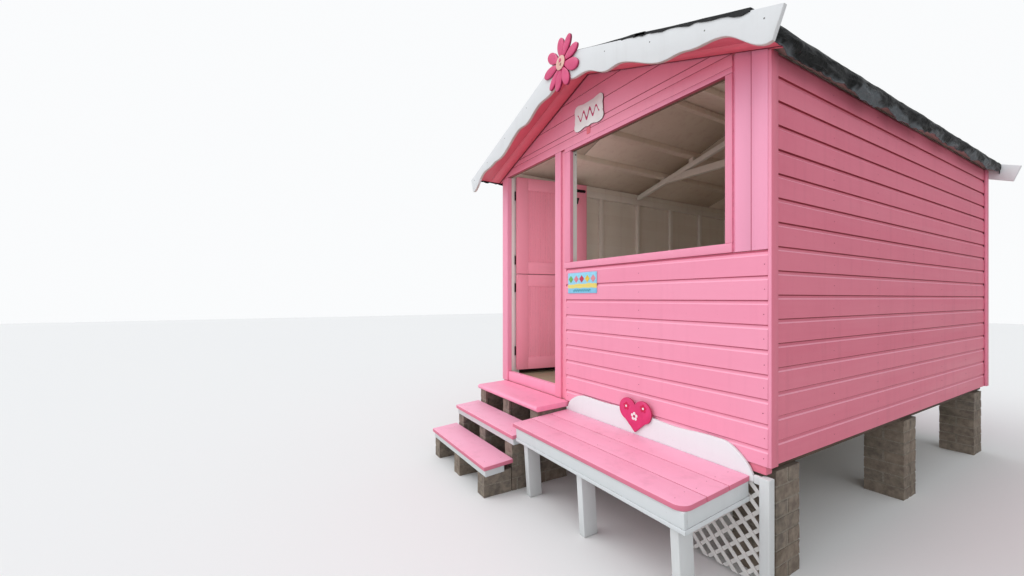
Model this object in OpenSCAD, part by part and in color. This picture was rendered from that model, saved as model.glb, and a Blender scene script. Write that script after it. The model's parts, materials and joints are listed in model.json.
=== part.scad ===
// A small timber beach hut on brick piers: a pitched roof with waved bargeboards, a two-leaf door at
// the left of its front, a wide unglazed window, brick-carried steps, a bench and a lattice panel.
// Millimetres. Z up from the ground, the front faces -Y, and the ridge stands over X = 0.

/* [Hut] */
// Width of the hut over its corner trims
hut_w = 2440; // [2200:10:2700]
// Depth of the hut from the front boards to the back boards
hut_d = 3500; // [3000:10:4000]
// Height of the underside of the walls above the ground
base_h = 560; // [500:5:620]
// Height of the side walls, from their underside to the soffit line
eaves_h = 1878; // [1860:2:1960]
// Pitch of the roof in degrees
roof_pitch = 20; // [17:1:24]
// Height of the floor's top above the underside of the walls
floor_rise = 53; // [45:1:65]
// Thickness of the floor boards
floor_t = 18; // [15:1:22]

/* [Walls] */
// Thickness of the shiplap boards
clad_t = 15; // [12:1:20]
// Height that each shiplap board covers
board_cover = 112; // [95:1:125]
// Height of the lowest board of the front, which is cut down
first_board_h = 87; // [60:1:112]
// Depth of the scoop along the top of each shiplap board
scoop_d = 7; // [4:1:9]
// Height of that scoop
scoop_h = 26; // [18:1:32]
// Width of a stud, along its wall
stud_w = 45; // [35:1:60]
// Depth of a stud, into the room
stud_d = 34; // [30:1:40]
// Number of bays between the studs of a side wall
stud_bays = 6; // [5:1:7]
// Width of the corner trims on the side walls
corner_trim_w = 59; // [45:1:80]
// Thickness of the corner trims
corner_trim_t = 16; // [14:1:22]

/* [Front] */
// Width of the post between the hut's left corner and the doorway
left_post_w = 93; // [80:1:110]
// Width of the doorway between its posts
door_w = 735; // [680:5:780]
// Width of the post between the doorway and the window
door_post_w = 72; // [60:1:90]
// Width of the recessed strip beside that post
recess_w = 48; // [35:1:60]
// How far that strip stands behind the front boards
recess_d = 14; // [8:1:20]
// Thickness of the front posts and boards
front_board_t = 45; // [40:1:50]
// Width of the window frame's left side
window_left_w = 66; // [50:1:80]
// Width of the window frame's right side
window_right_w = 37; // [30:1:50]
// Width of the slot between the window frame and the boards at its right
side_slot_w = 15; // [8:1:25]
// Depth of that slot
side_slot_d = 10; // [4:1:12]
// Width of the window opening
window_w = 1206; // [1100:2:1230]
// Height of the window's sill top above the underside of the walls
window_sill_z = 1030; // [980:5:1080]
// Height of the frame's top rail, between the window opening and the header
window_top_h = 29; // [20:1:45]
// Height of the window's sill piece
window_sill_h = 45; // [35:1:60]
// How far the window's sill stands out of the frame
window_sill_out = 3; // [2:1:20]
// Depth of the white lining behind the window's left jamb
window_lining_d = 21; // [10:1:30]
// Height of the header's underside above the eaves line
header_rise = 6; // [2:1:12]
// Height of the header
header_h = 61; // [50:1:80]
// Height of the sill board under the door
door_sill_h = 85; // [70:1:100]
// Thickness of that sill board
door_sill_t = 45; // [38:1:60]
// How far the sill board stands behind the front boards
door_sill_in = 10; // [4:1:25]

/* [Roof] */
// How far the roof reaches past the front boards, to the back of the bargeboards
front_overhang = 225; // [180:5:260]
// How far the roof reaches past the back boards
back_overhang = 60; // [40:5:100]
// How far the roof reaches past each corner trim
side_overhang = 45; // [30:5:60]
// Thickness of the soffit boards
soffit_t = 10; // [8:1:14]
// Depth of the rafters and purlins under the deck
rafter_d = 44; // [36:1:50]
// Thickness of the roof deck
deck_t = 14; // [12:1:20]
// Thickness of the roofing felt
felt_t = 4; // [3:1:6]
// Length of felt that hangs over each eave
felt_drop = 105; // [80:1:115]
// Depth of the truss's own rafters
truss_d = 47; // [40:1:70]
// Pitch of the truss's rafters in degrees, flatter than the roof
truss_pitch = 15.5; // [14:0.5:17]
// Height of the collar's top above the eaves line
collar_rise = 177; // [150:1:200]

/* [Bargeboards] */
// Thickness of a bargeboard
barge_t = 22; // [18:1:28]
// How far the bargeboards run past the edge of the roof
barge_reach = 130; // [100:5:150]
// Depth of a bargeboard at its end, square to the roof
barge_end_h = 130; // [110:5:150]

/* [Door] */
// Thickness of the door leaves
leaf_t = 35; // [30:1:40]
// How far the leaves lap the posts on each side
leaf_lap = 12; // [10:1:14]
// Running gap round the leaves
leaf_gap = 6; // [5:0.5:8]
// Height of the split between the leaves above the underside of the walls
leaf_split_z = 991; // [950:1:1080]
// Width of the frame round each leaf's panel
leaf_frame_w = 112; // [80:1:125]
// Thickness of the leaves' panels
leaf_panel_t = 16; // [12:1:20]
// How far the door stands open at rest, in degrees
door_rest = 82; // [60:1:85]

/* [Steps] */
// Distance from the hut's left corner to the steps
step_in = 60; // [30:5:90]
// Width of the landing
step_w = 935; // [850:5:960]
// How far the treads run past the landing on each side
tread_out = 15; // [0:1:25]
// Depth of the landing from the front boards
landing_d = 290; // [270:5:340]
// Fall of the landing toward its front, in degrees
landing_fall = 2; // [0.5:0.5:3]
// Fall of the treads and the bench toward their fronts, in degrees
front_fall = 4; // [1:0.5:5]
// Thickness of the landing board
landing_t = 38; // [32:1:45]
// Height of each step
step_rise = 172; // [160:1:185]
// Distance from the front boards to the middle tread's nosing
middle_front = 495; // [490:1:520]
// Distance from the front boards to the bottom tread's nosing
bottom_front = 710; // [705:1:740]
// Depth of each tread board
tread_d = 222; // [205:1:240]
// Thickness of each tread board
tread_t = 28; // [22:1:35]
// Thickness of the white plank under each tread
plank_t = 46; // [30:1:50]
// Depth of that plank
plank_d = 145; // [120:1:160]
// How far the plank and the piers stand behind the tread's edges
plank_inset = 12; // [10:1:25]
// Thickness of the brick walls under the steps
step_pier_w = 102; // [90:1:110]

/* [Bench] */
// Length of the bench seat
bench_w = 1352; // [1300:1:1370]
// Gap between the landing and the end of the seat
bench_gap = 5; // [3:1:30]
// How far the back of the seat's top lies below the underside of the walls
bench_drop = 56; // [40:1:70]
// Depth of the seat from its backboard
bench_d = 470; // [440:1:520]
// Thickness of the seat planks
seat_t = 25; // [20:1:30]
// Gap between the seat planks
seat_gap = 4; // [2:0.5:6]
// Radius of the seat's front right corner
seat_corner_r = 55; // [30:1:80]
// Height of the apron board
apron_h = 72; // [60:1:90]
// Height of the strip along the apron's foot
apron_strip_h = 21; // [15:1:30]
// Thickness of the apron board
apron_t = 20; // [16:1:25]
// How far the strip stands out of the apron
apron_strip_out = 4; // [3:1:8]
// How far the apron stands behind the seat's front edge
apron_inset = 9; // [6:1:30]
// How far the apron stands in from the seat's left end
apron_left_in = 30; // [10:1:40]
// How far the apron stands in from the seat's right end
apron_right_in = 6; // [5:1:30]
// Distance from the seat's left end to the middle of the left leg
left_leg_in = 107; // [90:1:130]
// Distance from the seat's right end to the middle of the right leg
right_leg_in = 76; // [65:1:110]
// Width of a leg, along the bench
leg_w = 44; // [34:1:55]
// Depth of a leg
leg_d = 95; // [80:1:110]
// Thickness of the waved backboard
backboard_t = 18; // [15:1:22]
// Height of the waved backboard over the back of the seat
backboard_h = 133; // [110:1:150]
// How far the backboard runs past the seat's right end
backboard_out = 17; // [5:1:25]

/* [Lattice] */
// Width of the lattice panel
lattice_w = 420; // [300:5:600]
// Width of a lattice bar
bar_w = 15; // [10:1:20]
// Thickness of a lattice bar
bar_t = 6; // [5:1:10]
// Spacing of the front bars, measured level
front_bar_pitch = 76; // [50:1:90]
// Spacing of the back bars, measured level
back_bar_pitch = 85; // [60:1:100]
// Shift of the back bars to the right
back_bar_shift = 24; // [0:1:60]
// Width of the lattice's post
post_w = 45; // [40:1:60]
// Gap between the end of the seat and the post
post_gap = 46; // [35:1:60]
// Height of the rail between the bench and the post
rail_h = 38; // [30:1:50]

/* [Ornaments] */
// Radius of the flower on the ridge, to its petal tips
flower_r = 184; // [150:1:200]
// Thickness of the flower's petals
flower_t = 18; // [14:1:24]
// Width of the heart on the bench back
heart_w = 250; // [220:1:280]
// Width of the name plaque
plaque_w = 318; // [280:1:350]
// Height of the plaque's middle above the header
plaque_rise = 102; // [95:1:115]
// Width of the plate under the window
plate_w = 308; // [280:1:330]

/* [Hidden] */

// Shared colours
pink = "lightpink";
deep_pink = "hotpink";
white_paint = "whitesmoke";
room_paint = "linen";
felt_black = "dimgray";
brick_brown = "rosybrown";

// Small allowances
touch = 0.5;
seam = 0.2;
step_facets = 4;

// Half sizes and the roof planes
half_w = hut_w / 2;
wall_x = half_w - corner_trim_t;
inner_x = wall_x - clad_t;
room_x = inner_x - stud_d;
slope = tan(roof_pitch);
up = 1 / cos(roof_pitch);
apex_z = base_h + eaves_h + half_w * slope;
eave_x = half_w + side_overhang;
rafter_lift = soffit_t * up;
deck_lift = rafter_lift + rafter_d * up;
felt_lift = deck_lift + deck_t * up;

// The whole reach of the object, front and back
back_reach = hut_d + back_overhang + barge_t;
front_y = (bottom_front - back_reach) / 2;

// The front's openings
door_x0 = -half_w + left_post_w;
door_x1 = door_x0 + door_w;
recess_x0 = door_x1 + door_post_w;
window_frame_x0 = recess_x0 + recess_w;
window_x0 = window_frame_x0 + window_left_w;
window_x1 = window_x0 + window_w;
window_frame_x1 = window_x1 + window_right_w;
front_edge_x = half_w - corner_trim_t;
header_z = eaves_h + header_rise;
window_head_z = header_z - window_top_h;
clad_end_x = window_frame_x0 + 18;

// The floor
floor_z = base_h + floor_rise;
bearer_w = 50;
bearer_drop = 40;
sill_back = door_sill_in + door_sill_t;
bearer_x = [-1, -0.5, 0, 0.5, 1];
bearer_reach = room_x + stud_d / 2 - bearer_w / 2;

// The door's leaves, closed, before they are turned about their pins
pin_r = 3;
knuckle_r = 6;
pin_clearance = 0.05;
leaf_y0 = front_board_t + leaf_gap;
leaf_y1 = leaf_y0 + leaf_t;
leaf_x0 = door_x0 - leaf_lap;
leaf_x1 = door_x1 + leaf_lap;
hinge_x = leaf_x0 - 4;
hinge_y = leaf_y1 + knuckle_r + 1;
leaf_bottom_z = base_h + door_sill_h + leaf_gap + 4;
leaf_top_z = base_h + header_z + leaf_lap;
leaf_split = base_h + leaf_split_z;
lining_x = hinge_x - knuckle_r - 1;
lining_d = 95;
hinge_len = 84;
hinge_plate_t = 3;
hinge_leaf_w = 60;
hinge_arm_w = 45;
hinge_z = [leaf_bottom_z + 130, leaf_split - 170, leaf_split + 90, leaf_top_z - 210];

// The steps
step_x0 = -half_w + step_in;
step_x1 = step_x0 + step_w;
middle_top = base_h - step_rise;
bottom_top = base_h - 2 * step_rise;

// The bench and the lattice
bench_x0 = step_x1 + bench_gap;
bench_x1 = bench_x0 + bench_w;
bench_h = base_h - bench_drop;
bench_front = backboard_t + bench_d;
seat_z = bench_h - seat_t;
apron_z = seat_z - apron_h - apron_strip_h;
leg_front = bench_front - apron_inset - apron_t - touch;
leg_rail_h = 70;
rail_t = 34;
middle_leg_share = 0.467;
post_x = bench_x1 + post_gap;
post_y = -25;
post_h = base_h - 47;
rail_d = post_w * 0.4;

// Moves the children so that their y is counted from the front boards.
module from_front() {
    translate([0, front_y, 0]) children();
}

// Runs a 2D outline in x and z from y0 to y1.
module along_y(y0, y1) {
    translate([0, y1, 0]) rotate([90, 0, 0]) linear_extrude(y1 - y0) children();
}

// Runs a 2D outline in y and z from x0 to x1.
module along_x(x0, x1) {
    translate([x0, 0, 0]) rotate([90, 0, 90]) linear_extrude(x1 - x0) children();
}

// Tips the children about a level line at y and z, so that what lies in front of it falls.
module tipped(fall, y, z) {
    translate([0, y, z]) rotate([fall, 0, 0]) translate([0, -y, -z]) children();
}

// A plain bar between two corners.
module bar(low, high) {
    translate(low) cube(high - low);
}

// Height of the soffit's underside at a distance from the ridge.
function roof_z(x) = apex_z - abs(x) * slope;

// Outline of one layer of one roof slope, from x0 to x1 away from the ridge.
module roof_layer(side, x0, x1, lift, thick) {
    polygon([
        [side * x0, roof_z(x0) + lift + seam],
        [side * x1, roof_z(x1) + lift + seam],
        [side * x1, roof_z(x1) + lift + thick * up],
        [side * x0, roof_z(x0) + lift + thick * up]
    ]);
}

// Outline of a rafter pair that meets under the ridge.
module rafter_pair(reach, lift, depth) {
    polygon([
        [-reach, roof_z(reach) + lift + seam],
        [0, apex_z + lift + seam],
        [reach, roof_z(reach) + lift + seam],
        [reach, roof_z(reach) + lift + depth * up],
        [0, apex_z + lift + depth * up],
        [-reach, roof_z(reach) + lift + depth * up]
    ]);
}

// Points up a shiplap wall's face, from z0 to z1, with the lowest board cut to a height of its own.
// In each pair the first value is the way out of the wall.
function scoop(z) = [for (i = [0:step_facets])
    [-scoop_d * sin(i * 90 / step_facets), z - scoop_h * cos(i * 90 / step_facets)]];
function shiplap(z0, first, z1) = concat(
    [[0, z0]],
    [for (z = [z0 + first:board_cover:z1 - scoop_h]) for (p = concat(scoop(z), [[0, z]])) p],
    [[0, z1]]
);

// Outline of a shiplap wall, with its face at the coordinate out and its boards on the side way.
module shiplap_outline(out, way, z0, first, z1) {
    face = [for (p = shiplap(z0, first, z1)) [out + way * p[0], p[1]]];
    polygon(concat(face, [[out - way * clad_t, z1], [out - way * clad_t, z0]]));
}

// Outline of an end wall from z0 up to the roof, raised by the lift.
module gable_outline(half, z0, lift) {
    polygon([
        [-half, z0], [half, z0], [half, roof_z(half) + lift], [0, apex_z + lift],
        [-half, roof_z(half) + lift]
    ]);
}

// Foundations and floor

module hut_piers() from_front() color(brick_brown) {
    pier = 215;
    for (x = [-bearer_reach + 60, 0, bearer_reach - 60])
        for (y = [90, (hut_d - pier) / 2, hut_d - pier - 90])
            bar([x - pier / 2, y, 0], [x + pier / 2, y + pier, base_h - bearer_drop]);
}

module bearers() from_front() color(pink) {
    for (k = bearer_x)
        translate([k * bearer_reach, 0, 0])
            bar([-bearer_w / 2, sill_back + touch, base_h - bearer_drop],
                [bearer_w / 2, hut_d - clad_t, floor_z - floor_t]);
    bar([-half_w + 20, 5, base_h - bearer_drop], [half_w - 26, sill_back, base_h]);
}

module floor() from_front() color("darkkhaki") {
    translate([0, 0, floor_z - floor_t]) linear_extrude(floor_t) polygon([
        [-inner_x, sill_back], [door_x1, sill_back], [door_x1, front_board_t],
        [inner_x, front_board_t], [inner_x, hut_d - clad_t], [-inner_x, hut_d - clad_t]
    ]);
}

// Walls

module side_walls() from_front() color(pink) {
    for (side = [-1, 1])
        along_y(side < 0 ? front_board_t : clad_t, hut_d - clad_t)
            shiplap_outline(side * wall_x, side, base_h, board_cover, roof_z(wall_x) + rafter_lift);
}

module back_wall() from_front() color(pink) {
    intersection() {
        along_x(-wall_x, wall_x) shiplap_outline(hut_d, 1, base_h, board_cover, apex_z + deck_lift);
        along_y(hut_d - clad_t - 1, hut_d + 1) gable_outline(wall_x, base_h, deck_lift);
    }
}

module front_lower_wall() from_front() color(pink) {
    along_x(clad_end_x, front_edge_x)
        shiplap_outline(0, -1, base_h, first_board_h, base_h + window_sill_z - window_sill_h);
}

module front_side_boards() from_front() color(pink) {
    z0 = base_h + window_sill_z - window_sill_h;
    x1 = window_frame_x1 + side_slot_w;
    along_y(0, clad_t)
        polygon([[x1, z0], [front_edge_x, z0], [front_edge_x, roof_z(front_edge_x)], [x1, roof_z(x1)]]);
    along_y(side_slot_d, clad_t)
        polygon([[window_frame_x1, z0], [x1 + 1, z0], [x1 + 1, roof_z(x1 + 1)], [window_frame_x1, roof_z(x1)]]);
}

module front_gable() from_front() color(pink) {
    gable_z = base_h + header_z + header_h;
    reach = (apex_z - gable_z) / slope;
    along_y(0, clad_t) polygon([[-reach, gable_z], [reach, gable_z], [0, apex_z]]);
}

module corner_trims() from_front() color(pink) {
    back_y = hut_d - corner_trim_w;
    for (p = [[-half_w, front_board_t], [-half_w, back_y], [wall_x, 0], [wall_x, back_y]])
        bar([p[0], p[1], base_h], [p[0] + corner_trim_t, p[1] + corner_trim_w, base_h + eaves_h]);
}

// Frames inside the walls

module side_wall_studs() from_front() color(room_paint) {
    y0 = front_board_t + touch;
    y1 = hut_d - clad_t;
    plate_z = base_h + eaves_h - stud_w;
    for (side = [-1, 1]) {
        x0 = side > 0 ? room_x : -inner_x;
        first = side > 0 ? 0 : 1;
        plate_y = side > 0 ? y0 : y0 + lining_d + touch;
        bar([x0, plate_y, floor_z], [x0 + stud_d, y1, floor_z + stud_w]);
        bar([x0, plate_y, plate_z], [x0 + stud_d, y1, roof_z(inner_x) + rafter_lift]);
        for (i = [first:stud_bays])
            translate([0, y0 + i * (y1 - y0 - stud_w) / stud_bays, 0])
                bar([x0, 0, floor_z + stud_w + touch], [x0 + stud_d, stud_w, plate_z - touch]);
    }
}

module end_wall_studs() from_front() color(room_paint) {
    reach = room_x - touch;
    back_y = hut_d - clad_t - stud_d;
    beam_z = base_h + eaves_h - stud_w;
    bar([-reach, back_y, floor_z], [reach, back_y + stud_d, floor_z + stud_w]);
    bar([-reach, back_y, beam_z], [reach, back_y + stud_d, beam_z + stud_w]);
    for (x = [-reach / 2, 0, reach / 2]) {
        top = roof_z(abs(x) + stud_w / 2) + rafter_lift;
        translate([x - stud_w / 2, back_y, 0]) {
            bar([0, 0, floor_z + stud_w + touch], [stud_w, stud_d, beam_z - touch]);
            bar([0, 0, beam_z + stud_w + touch], [stud_w, stud_d, top]);
        }
    }
    y0 = front_board_t + touch;
    y1 = y0 + stud_d;
    left = leaf_x1 + leaf_gap + 2;
    head = leaf_top_z + leaf_gap;
    under_sill = base_h + window_sill_z - window_sill_h;
    bar([left, y0, floor_z], [reach, y1, floor_z + stud_w]);
    bar([left + stud_w + touch, y0, under_sill - stud_w], [window_x1 - touch, y1, under_sill]);
    bar([-reach, y0, head], [reach, y1, min(head + stud_w, roof_z(room_x) + deck_lift - seam)]);
    for (x = [left, window_x1])
        bar([x, y0, floor_z + stud_w + touch], [x + stud_w, y1, head - touch]);
    bar([window_x0 - stud_w, y0, under_sill + touch], [window_x0, y0 + window_lining_d, head - touch]);
}

// Front posts, header and window

// Distance from the ridge at which the soffit's underside is at height z.
function roof_reach(z) = min(half_w, (apex_z - z) / slope);

module front_posts() from_front() color(pink) {
    top = base_h + header_z;
    along_y(0, front_board_t) polygon([
        [-half_w, base_h], [door_x0, base_h], [door_x0, top], [-roof_reach(top), top],
        [-half_w, min(top, roof_z(half_w))]
    ]);
    bar([door_x1, 0, base_h], [recess_x0, front_board_t, top]);
}

module hinge_lining() from_front() color(white_paint) {
    bar([-inner_x, front_board_t + touch, floor_z],
        [lining_x, front_board_t + touch + lining_d, leaf_top_z + leaf_gap - touch]);
}

module recess_strip() from_front() color(deep_pink) {
    bar([recess_x0, recess_d, base_h], [window_frame_x0, front_board_t, base_h + header_z]);
    bar([window_frame_x0, 0, base_h],
        [clad_end_x, front_board_t, base_h + window_sill_z - window_sill_h]);
}

module header() from_front() color(pink) {
    z0 = base_h + header_z;
    z1 = z0 + header_h;
    low = min(inner_x, roof_reach(z0));
    high = min(inner_x, roof_reach(z1));
    along_y(0, front_board_t) polygon([
        [-low, z0], [min(low, window_frame_x1), z0], [min(high, window_frame_x1), z1], [-high, z1]
    ]);
}

module door_sill() from_front() color(pink) {
    bar([door_x0, door_sill_in, base_h], [door_x1, sill_back, base_h + door_sill_h]);
}

module window_frame() from_front() color(pink) {
    sill = base_h + window_sill_z;
    head = base_h + window_head_z;
    top = base_h + header_z;
    bar([window_frame_x0, -window_sill_out, sill - window_sill_h],
        [window_frame_x1, front_board_t, sill]);
    bar([window_frame_x0, 0, sill + touch], [window_x0, front_board_t, head - touch]);
    bar([window_x1, 0, sill + touch], [window_frame_x1, front_board_t, head - touch]);
    bar([window_frame_x0, 0, head], [window_frame_x1, front_board_t, top]);
}

// Roof

module gable_rafters() from_front() color(pink) {
    back_y = hut_d - clad_t;
    for (y = [[-front_overhang, stud_w - front_overhang], [clad_t, front_board_t], [back_y - stud_w, back_y]])
        for (side = [-1, 1])
            along_y(y[0], y[1]) roof_layer(side, touch / 2, wall_x - touch, rafter_lift, rafter_d);
}

// Middle of each purlin, as a share of the half width.
purlin_shares = [0.369, 0.651];

module purlins() from_front() color(room_paint) {
    y0 = front_board_t;
    y1 = hut_d - clad_t - stud_w;
    for (side = [-1, 1]) {
        for (k = purlin_shares)
            along_y(y0, y1) roof_layer(side, k * half_w - stud_w / 2, k * half_w + stud_w / 2,
                rafter_lift, rafter_d);
        along_y(-front_overhang, hut_d + back_overhang)
            roof_layer(side, wall_x, eave_x - 4, rafter_lift, rafter_d);
    }
    along_y(y0, y1) rafter_pair(stud_w / 2, rafter_lift, rafter_d);
}

// Height of the truss rafters' tops at a distance from the ridge: their feet meet the wall plates.
truss_foot_z = base_h + eaves_h + truss_d * 1.15;
function truss_z(x) = truss_foot_z + (room_x - x) * tan(truss_pitch);

module truss() from_front() color(room_paint) {
    y = (hut_d - stud_w) / 2;
    deep = truss_d / cos(truss_pitch);
    z1 = base_h + eaves_h + collar_rise;
    z0 = z1 - truss_d * 1.4;
    foot_z = truss_z(room_x);
    wide = room_x - (z0 - foot_z + deep) / tan(truss_pitch) - touch;
    narrow = room_x - (z1 - foot_z + deep) / tan(truss_pitch) - touch;
    along_y(y, y + stud_w) {
        for (side = [-1, 1]) {
            polygon([
                [side * touch / 2, truss_z(0) - deep], [side * room_x, foot_z - deep],
                [side * room_x, foot_z], [side * touch / 2, truss_z(0)]
            ]);
            for (k = purlin_shares) {
                a = k * half_w - stud_w / 2;
                b = k * half_w + stud_w / 2;
                polygon([
                    [side * a, truss_z(a) + touch], [side * b, truss_z(b) + touch],
                    [side * b, roof_z(b) + rafter_lift], [side * a, roof_z(a) + rafter_lift]
                ]);
            }
        }
        polygon([[-wide, z0], [wide, z0], [narrow, z1], [-narrow, z1]]);
        polygon([
            [-stud_w / 2, truss_z(0) + touch], [stud_w / 2, truss_z(0) + touch],
            [stud_w / 2, roof_z(stud_w / 2) + rafter_lift],
            [-stud_w / 2, roof_z(stud_w / 2) + rafter_lift]
        ]);
        polygon([
            [-stud_w / 2, z1 + touch], [stud_w / 2, z1 + touch],
            [stud_w / 2, truss_z(stud_w / 2) - deep - touch],
            [-stud_w / 2, truss_z(stud_w / 2) - deep - touch]
        ]);
    }
}

module soffit() from_front() color(pink) {
    for (side = [-1, 1])
        along_y(-front_overhang, clad_t) roof_layer(side, touch / 2, eave_x, 0, soffit_t);
}

module roof_deck() from_front() color("tan") {
    for (side = [-1, 1])
        along_y(-front_overhang, hut_d + back_overhang)
            roof_layer(side, touch / 2, eave_x, deck_lift, deck_t);
}

module roof_felt() from_front() color(felt_black) {
    y0 = -front_overhang - barge_t;
    y1 = hut_d + back_overhang + barge_t;
    edge_z = roof_z(eave_x) + felt_lift;
    top = edge_z - felt_t * slope - touch;
    for (side = [-1, 1]) {
        along_y(y0, y1) roof_layer(side, touch / 2, eave_x + felt_t, felt_lift, felt_t);
        along_y(y0 + barge_t + touch, y1 - barge_t - touch) polygon([
            [side * (eave_x + touch), top], [side * (eave_x + felt_t), top],
            [side * (eave_x + felt_t), edge_z - felt_drop], [side * (eave_x + touch), edge_z - felt_drop]
        ]);
    }
}

// Bargeboards

// Level distances from a bargeboard's end and plumb depths there: the turns of its hand-cut wave.
barge_wave = [[0, 118], [80, 148], [250, 86], [430, 120], [600, 157], [840, 124], [990, 161],
    [1120, 141], [1290, 176], [1500, 180]];

// Height of a wave between two of its turning points.
function ease(a, b, t) = a + (b - a) * (1 - cos(180 * t)) / 2;
function wave_at(wave, x, i = 0) =
    x <= wave[i + 1][0] || i == len(wave) - 2
        ? ease(wave[i][1], wave[i + 1][1], max(0, min(1, (x - wave[i][0]) / (wave[i + 1][0] - wave[i][0]))))
        : wave_at(wave, x, i + 1);

// One bargeboard's outline: its top follows the roof and its end is cut square to the slope.
module barge_outline(side, waved) {
    steps = 64;
    reach = eave_x + barge_reach;
    cut_x = reach - barge_end_h * sin(roof_pitch);
    function top(x) = roof_z(x) + felt_lift;
    function depth(x) = waved ? wave_at(barge_wave, reach - x) : barge_end_h * up;
    low = [for (i = [0:steps])
        let (x = touch / 2 + (cut_x - touch / 2) * (1 - i / steps))
        [side * x, top(x) - depth(x)]];
    polygon(concat([[side * touch / 2, top(touch / 2)], [side * reach, top(reach)]], low));
}

module bargeboard_front_left() from_front() color(white_paint)
    along_y(-front_overhang - barge_t, -front_overhang) barge_outline(-1, true);

module bargeboard_front_right() from_front() color(white_paint)
    along_y(-front_overhang - barge_t, -front_overhang) barge_outline(1, true);

module bargeboards_back() from_front() color(white_paint)
    along_y(hut_d + back_overhang, hut_d + back_overhang + barge_t) {
        barge_outline(-1, false);
        barge_outline(1, false);
    }

// Ornaments

// Each petal: its direction in degrees, its length and its width as shares of the flower's radius.
petals = [[94, 0.93, 0.37], [60, 0.95, 0.33], [16, 0.93, 0.37], [-27, 1.02, 0.42], [-68, 0.96, 0.38],
    [-105, 0.95, 0.37], [-135, 0.98, 0.31], [-177, 1.05, 0.38], [142, 1.02, 0.39]];

// Outline of a petal that lies along +X: it widens evenly to two thirds of its length, then rounds off.
module petal(long, wide) {
    steps = 16;
    swell = 0.66;
    edge = [for (i = [0:steps])
        let (t = i / steps)
        [t * long, wide / 2 * (t < swell
            ? 0.3 + 0.7 * pow(sin(90 * t / swell), 1.2)
            : sqrt(1 - pow((t - swell) / (1 - swell), 2)))]];
    polygon(concat(edge, [for (i = [steps - 1:-1:0]) [edge[i][0], -edge[i][1]]]));
}

module ridge_flower() from_front() color(deep_pink) {
    y1 = -front_overhang - barge_t;
    translate([flower_r * 0.14, y1, apex_z + felt_lift - flower_r * 0.43]) rotate([90, 0, 0]) {
        linear_extrude(flower_t) {
            for (p = petals) rotate([0, 0, p[0]]) petal(p[1] * flower_r, p[2] * flower_r);
            circle(r = flower_r * 0.25, $fn = 32);
        }
        translate([0, 0, flower_t]) cylinder(r = flower_r * 0.24, h = flower_t * 0.4, $fn = 32);
    }
}

// Right half of the plaque's outline, from the middle of its top: shares of its width, and heights.
plaque_edge = [[0, 84], [0.17, 85], [0.26, 91], [0.35, 96], [0.41, 91], [0.455, 77], [0.467, 53],
    [0.447, 28], [0.455, 5], [0.46, -14], [0.453, -27], [0.475, -45], [0.476, -64], [0.44, -82],
    [0.36, -92], [0.27, -92], [0.17, -83], [0.09, -80], [0, -86]];

module plaque_outline() {
    last = len(plaque_edge) - 1;
    polygon(concat(
        [for (p = plaque_edge) [p[0] * plaque_w, p[1]]],
        [for (i = [last - 1:-1:1]) [-plaque_edge[i][0] * plaque_w, plaque_edge[i][1]]]
    ));
}

module name_plaque() from_front() color(white_paint) {
    z = base_h + header_z + header_h + plaque_rise;
    translate([5, 0, z]) rotate([90, 0, 0]) linear_extrude(9) plaque_outline();
}

module window_plate() from_front() color("royalblue") {
    x0 = clad_end_x + 31;
    z1 = base_h + window_sill_z - window_sill_h - 38;
    bar([x0, -5, z1 - 148], [x0 + plate_w, 0, z1]);
}

// Steps

module landing() from_front() color(pink) tipped(landing_fall, -touch, base_h) {
    r = landing_t / 2;
    along_x(step_x0, step_x1) {
        translate([-landing_d + r, base_h - landing_t]) square([landing_d - r - 6 * touch, landing_t]);
        translate([-landing_d + r, base_h - r]) circle(r = r, $fn = 32);
    }
}

module tread(front, top) {
    tipped(front_fall, -front, top)
        bar([step_x0 - tread_out, -front, top - tread_t], [step_x1 + tread_out, -front + tread_d, top]);
}

module treads() from_front() color(pink) {
    tread(middle_front, middle_top);
    tread(bottom_front, bottom_top);
}

module tread_planks() from_front() color(white_paint) {
    inset = plank_inset - tread_out;
    for (s = [[middle_front, middle_top], [bottom_front, bottom_top]])
        tipped(front_fall, -s[0], s[1])
            bar([step_x0 + inset, -s[0] + plank_inset, s[1] - tread_t - plank_t],
                [step_x1 - inset, -s[0] + plank_inset + plank_d, s[1] - tread_t]);
}

// Height at y of a board's underside: its top is at height top at y0, and it falls toward the front.
function underside(y, y0, top, thick, fall) = top - thick / cos(fall) + (y - y0) * tan(fall);

module step_piers() from_front() color(brick_brown) {
    seat = tread_t + plank_t;
    y1 = -middle_front + plank_inset;
    y2 = -landing_d + plank_inset + landing_t;
    walls = [
        [-bottom_front + plank_inset + 2, y1 - touch, -bottom_front, bottom_top, seat, front_fall],
        [y1 + 2, y2 - touch, -middle_front, middle_top, seat, front_fall],
        [y2, -4, -touch, base_h, landing_t, landing_fall]
    ];
    for (k = [0, 0.5, 1]) {
        x0 = step_x0 + plank_inset + k * (step_w - 2 * plank_inset - step_pier_w);
        for (w = walls)
            along_x(x0, x0 + step_pier_w) polygon([
                [w[0], 0], [w[1], 0],
                [w[1], underside(w[1], w[2], w[3], w[4], w[5])], [w[0], underside(w[0], w[2], w[3], w[4], w[5])]
            ]);
    }
}

// Bench

// The bench stands square and is then tipped forward about the back of its seat's underside.
module bench_tip() {
    tipped(front_fall, -backboard_t, seat_z) children();
}

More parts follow.
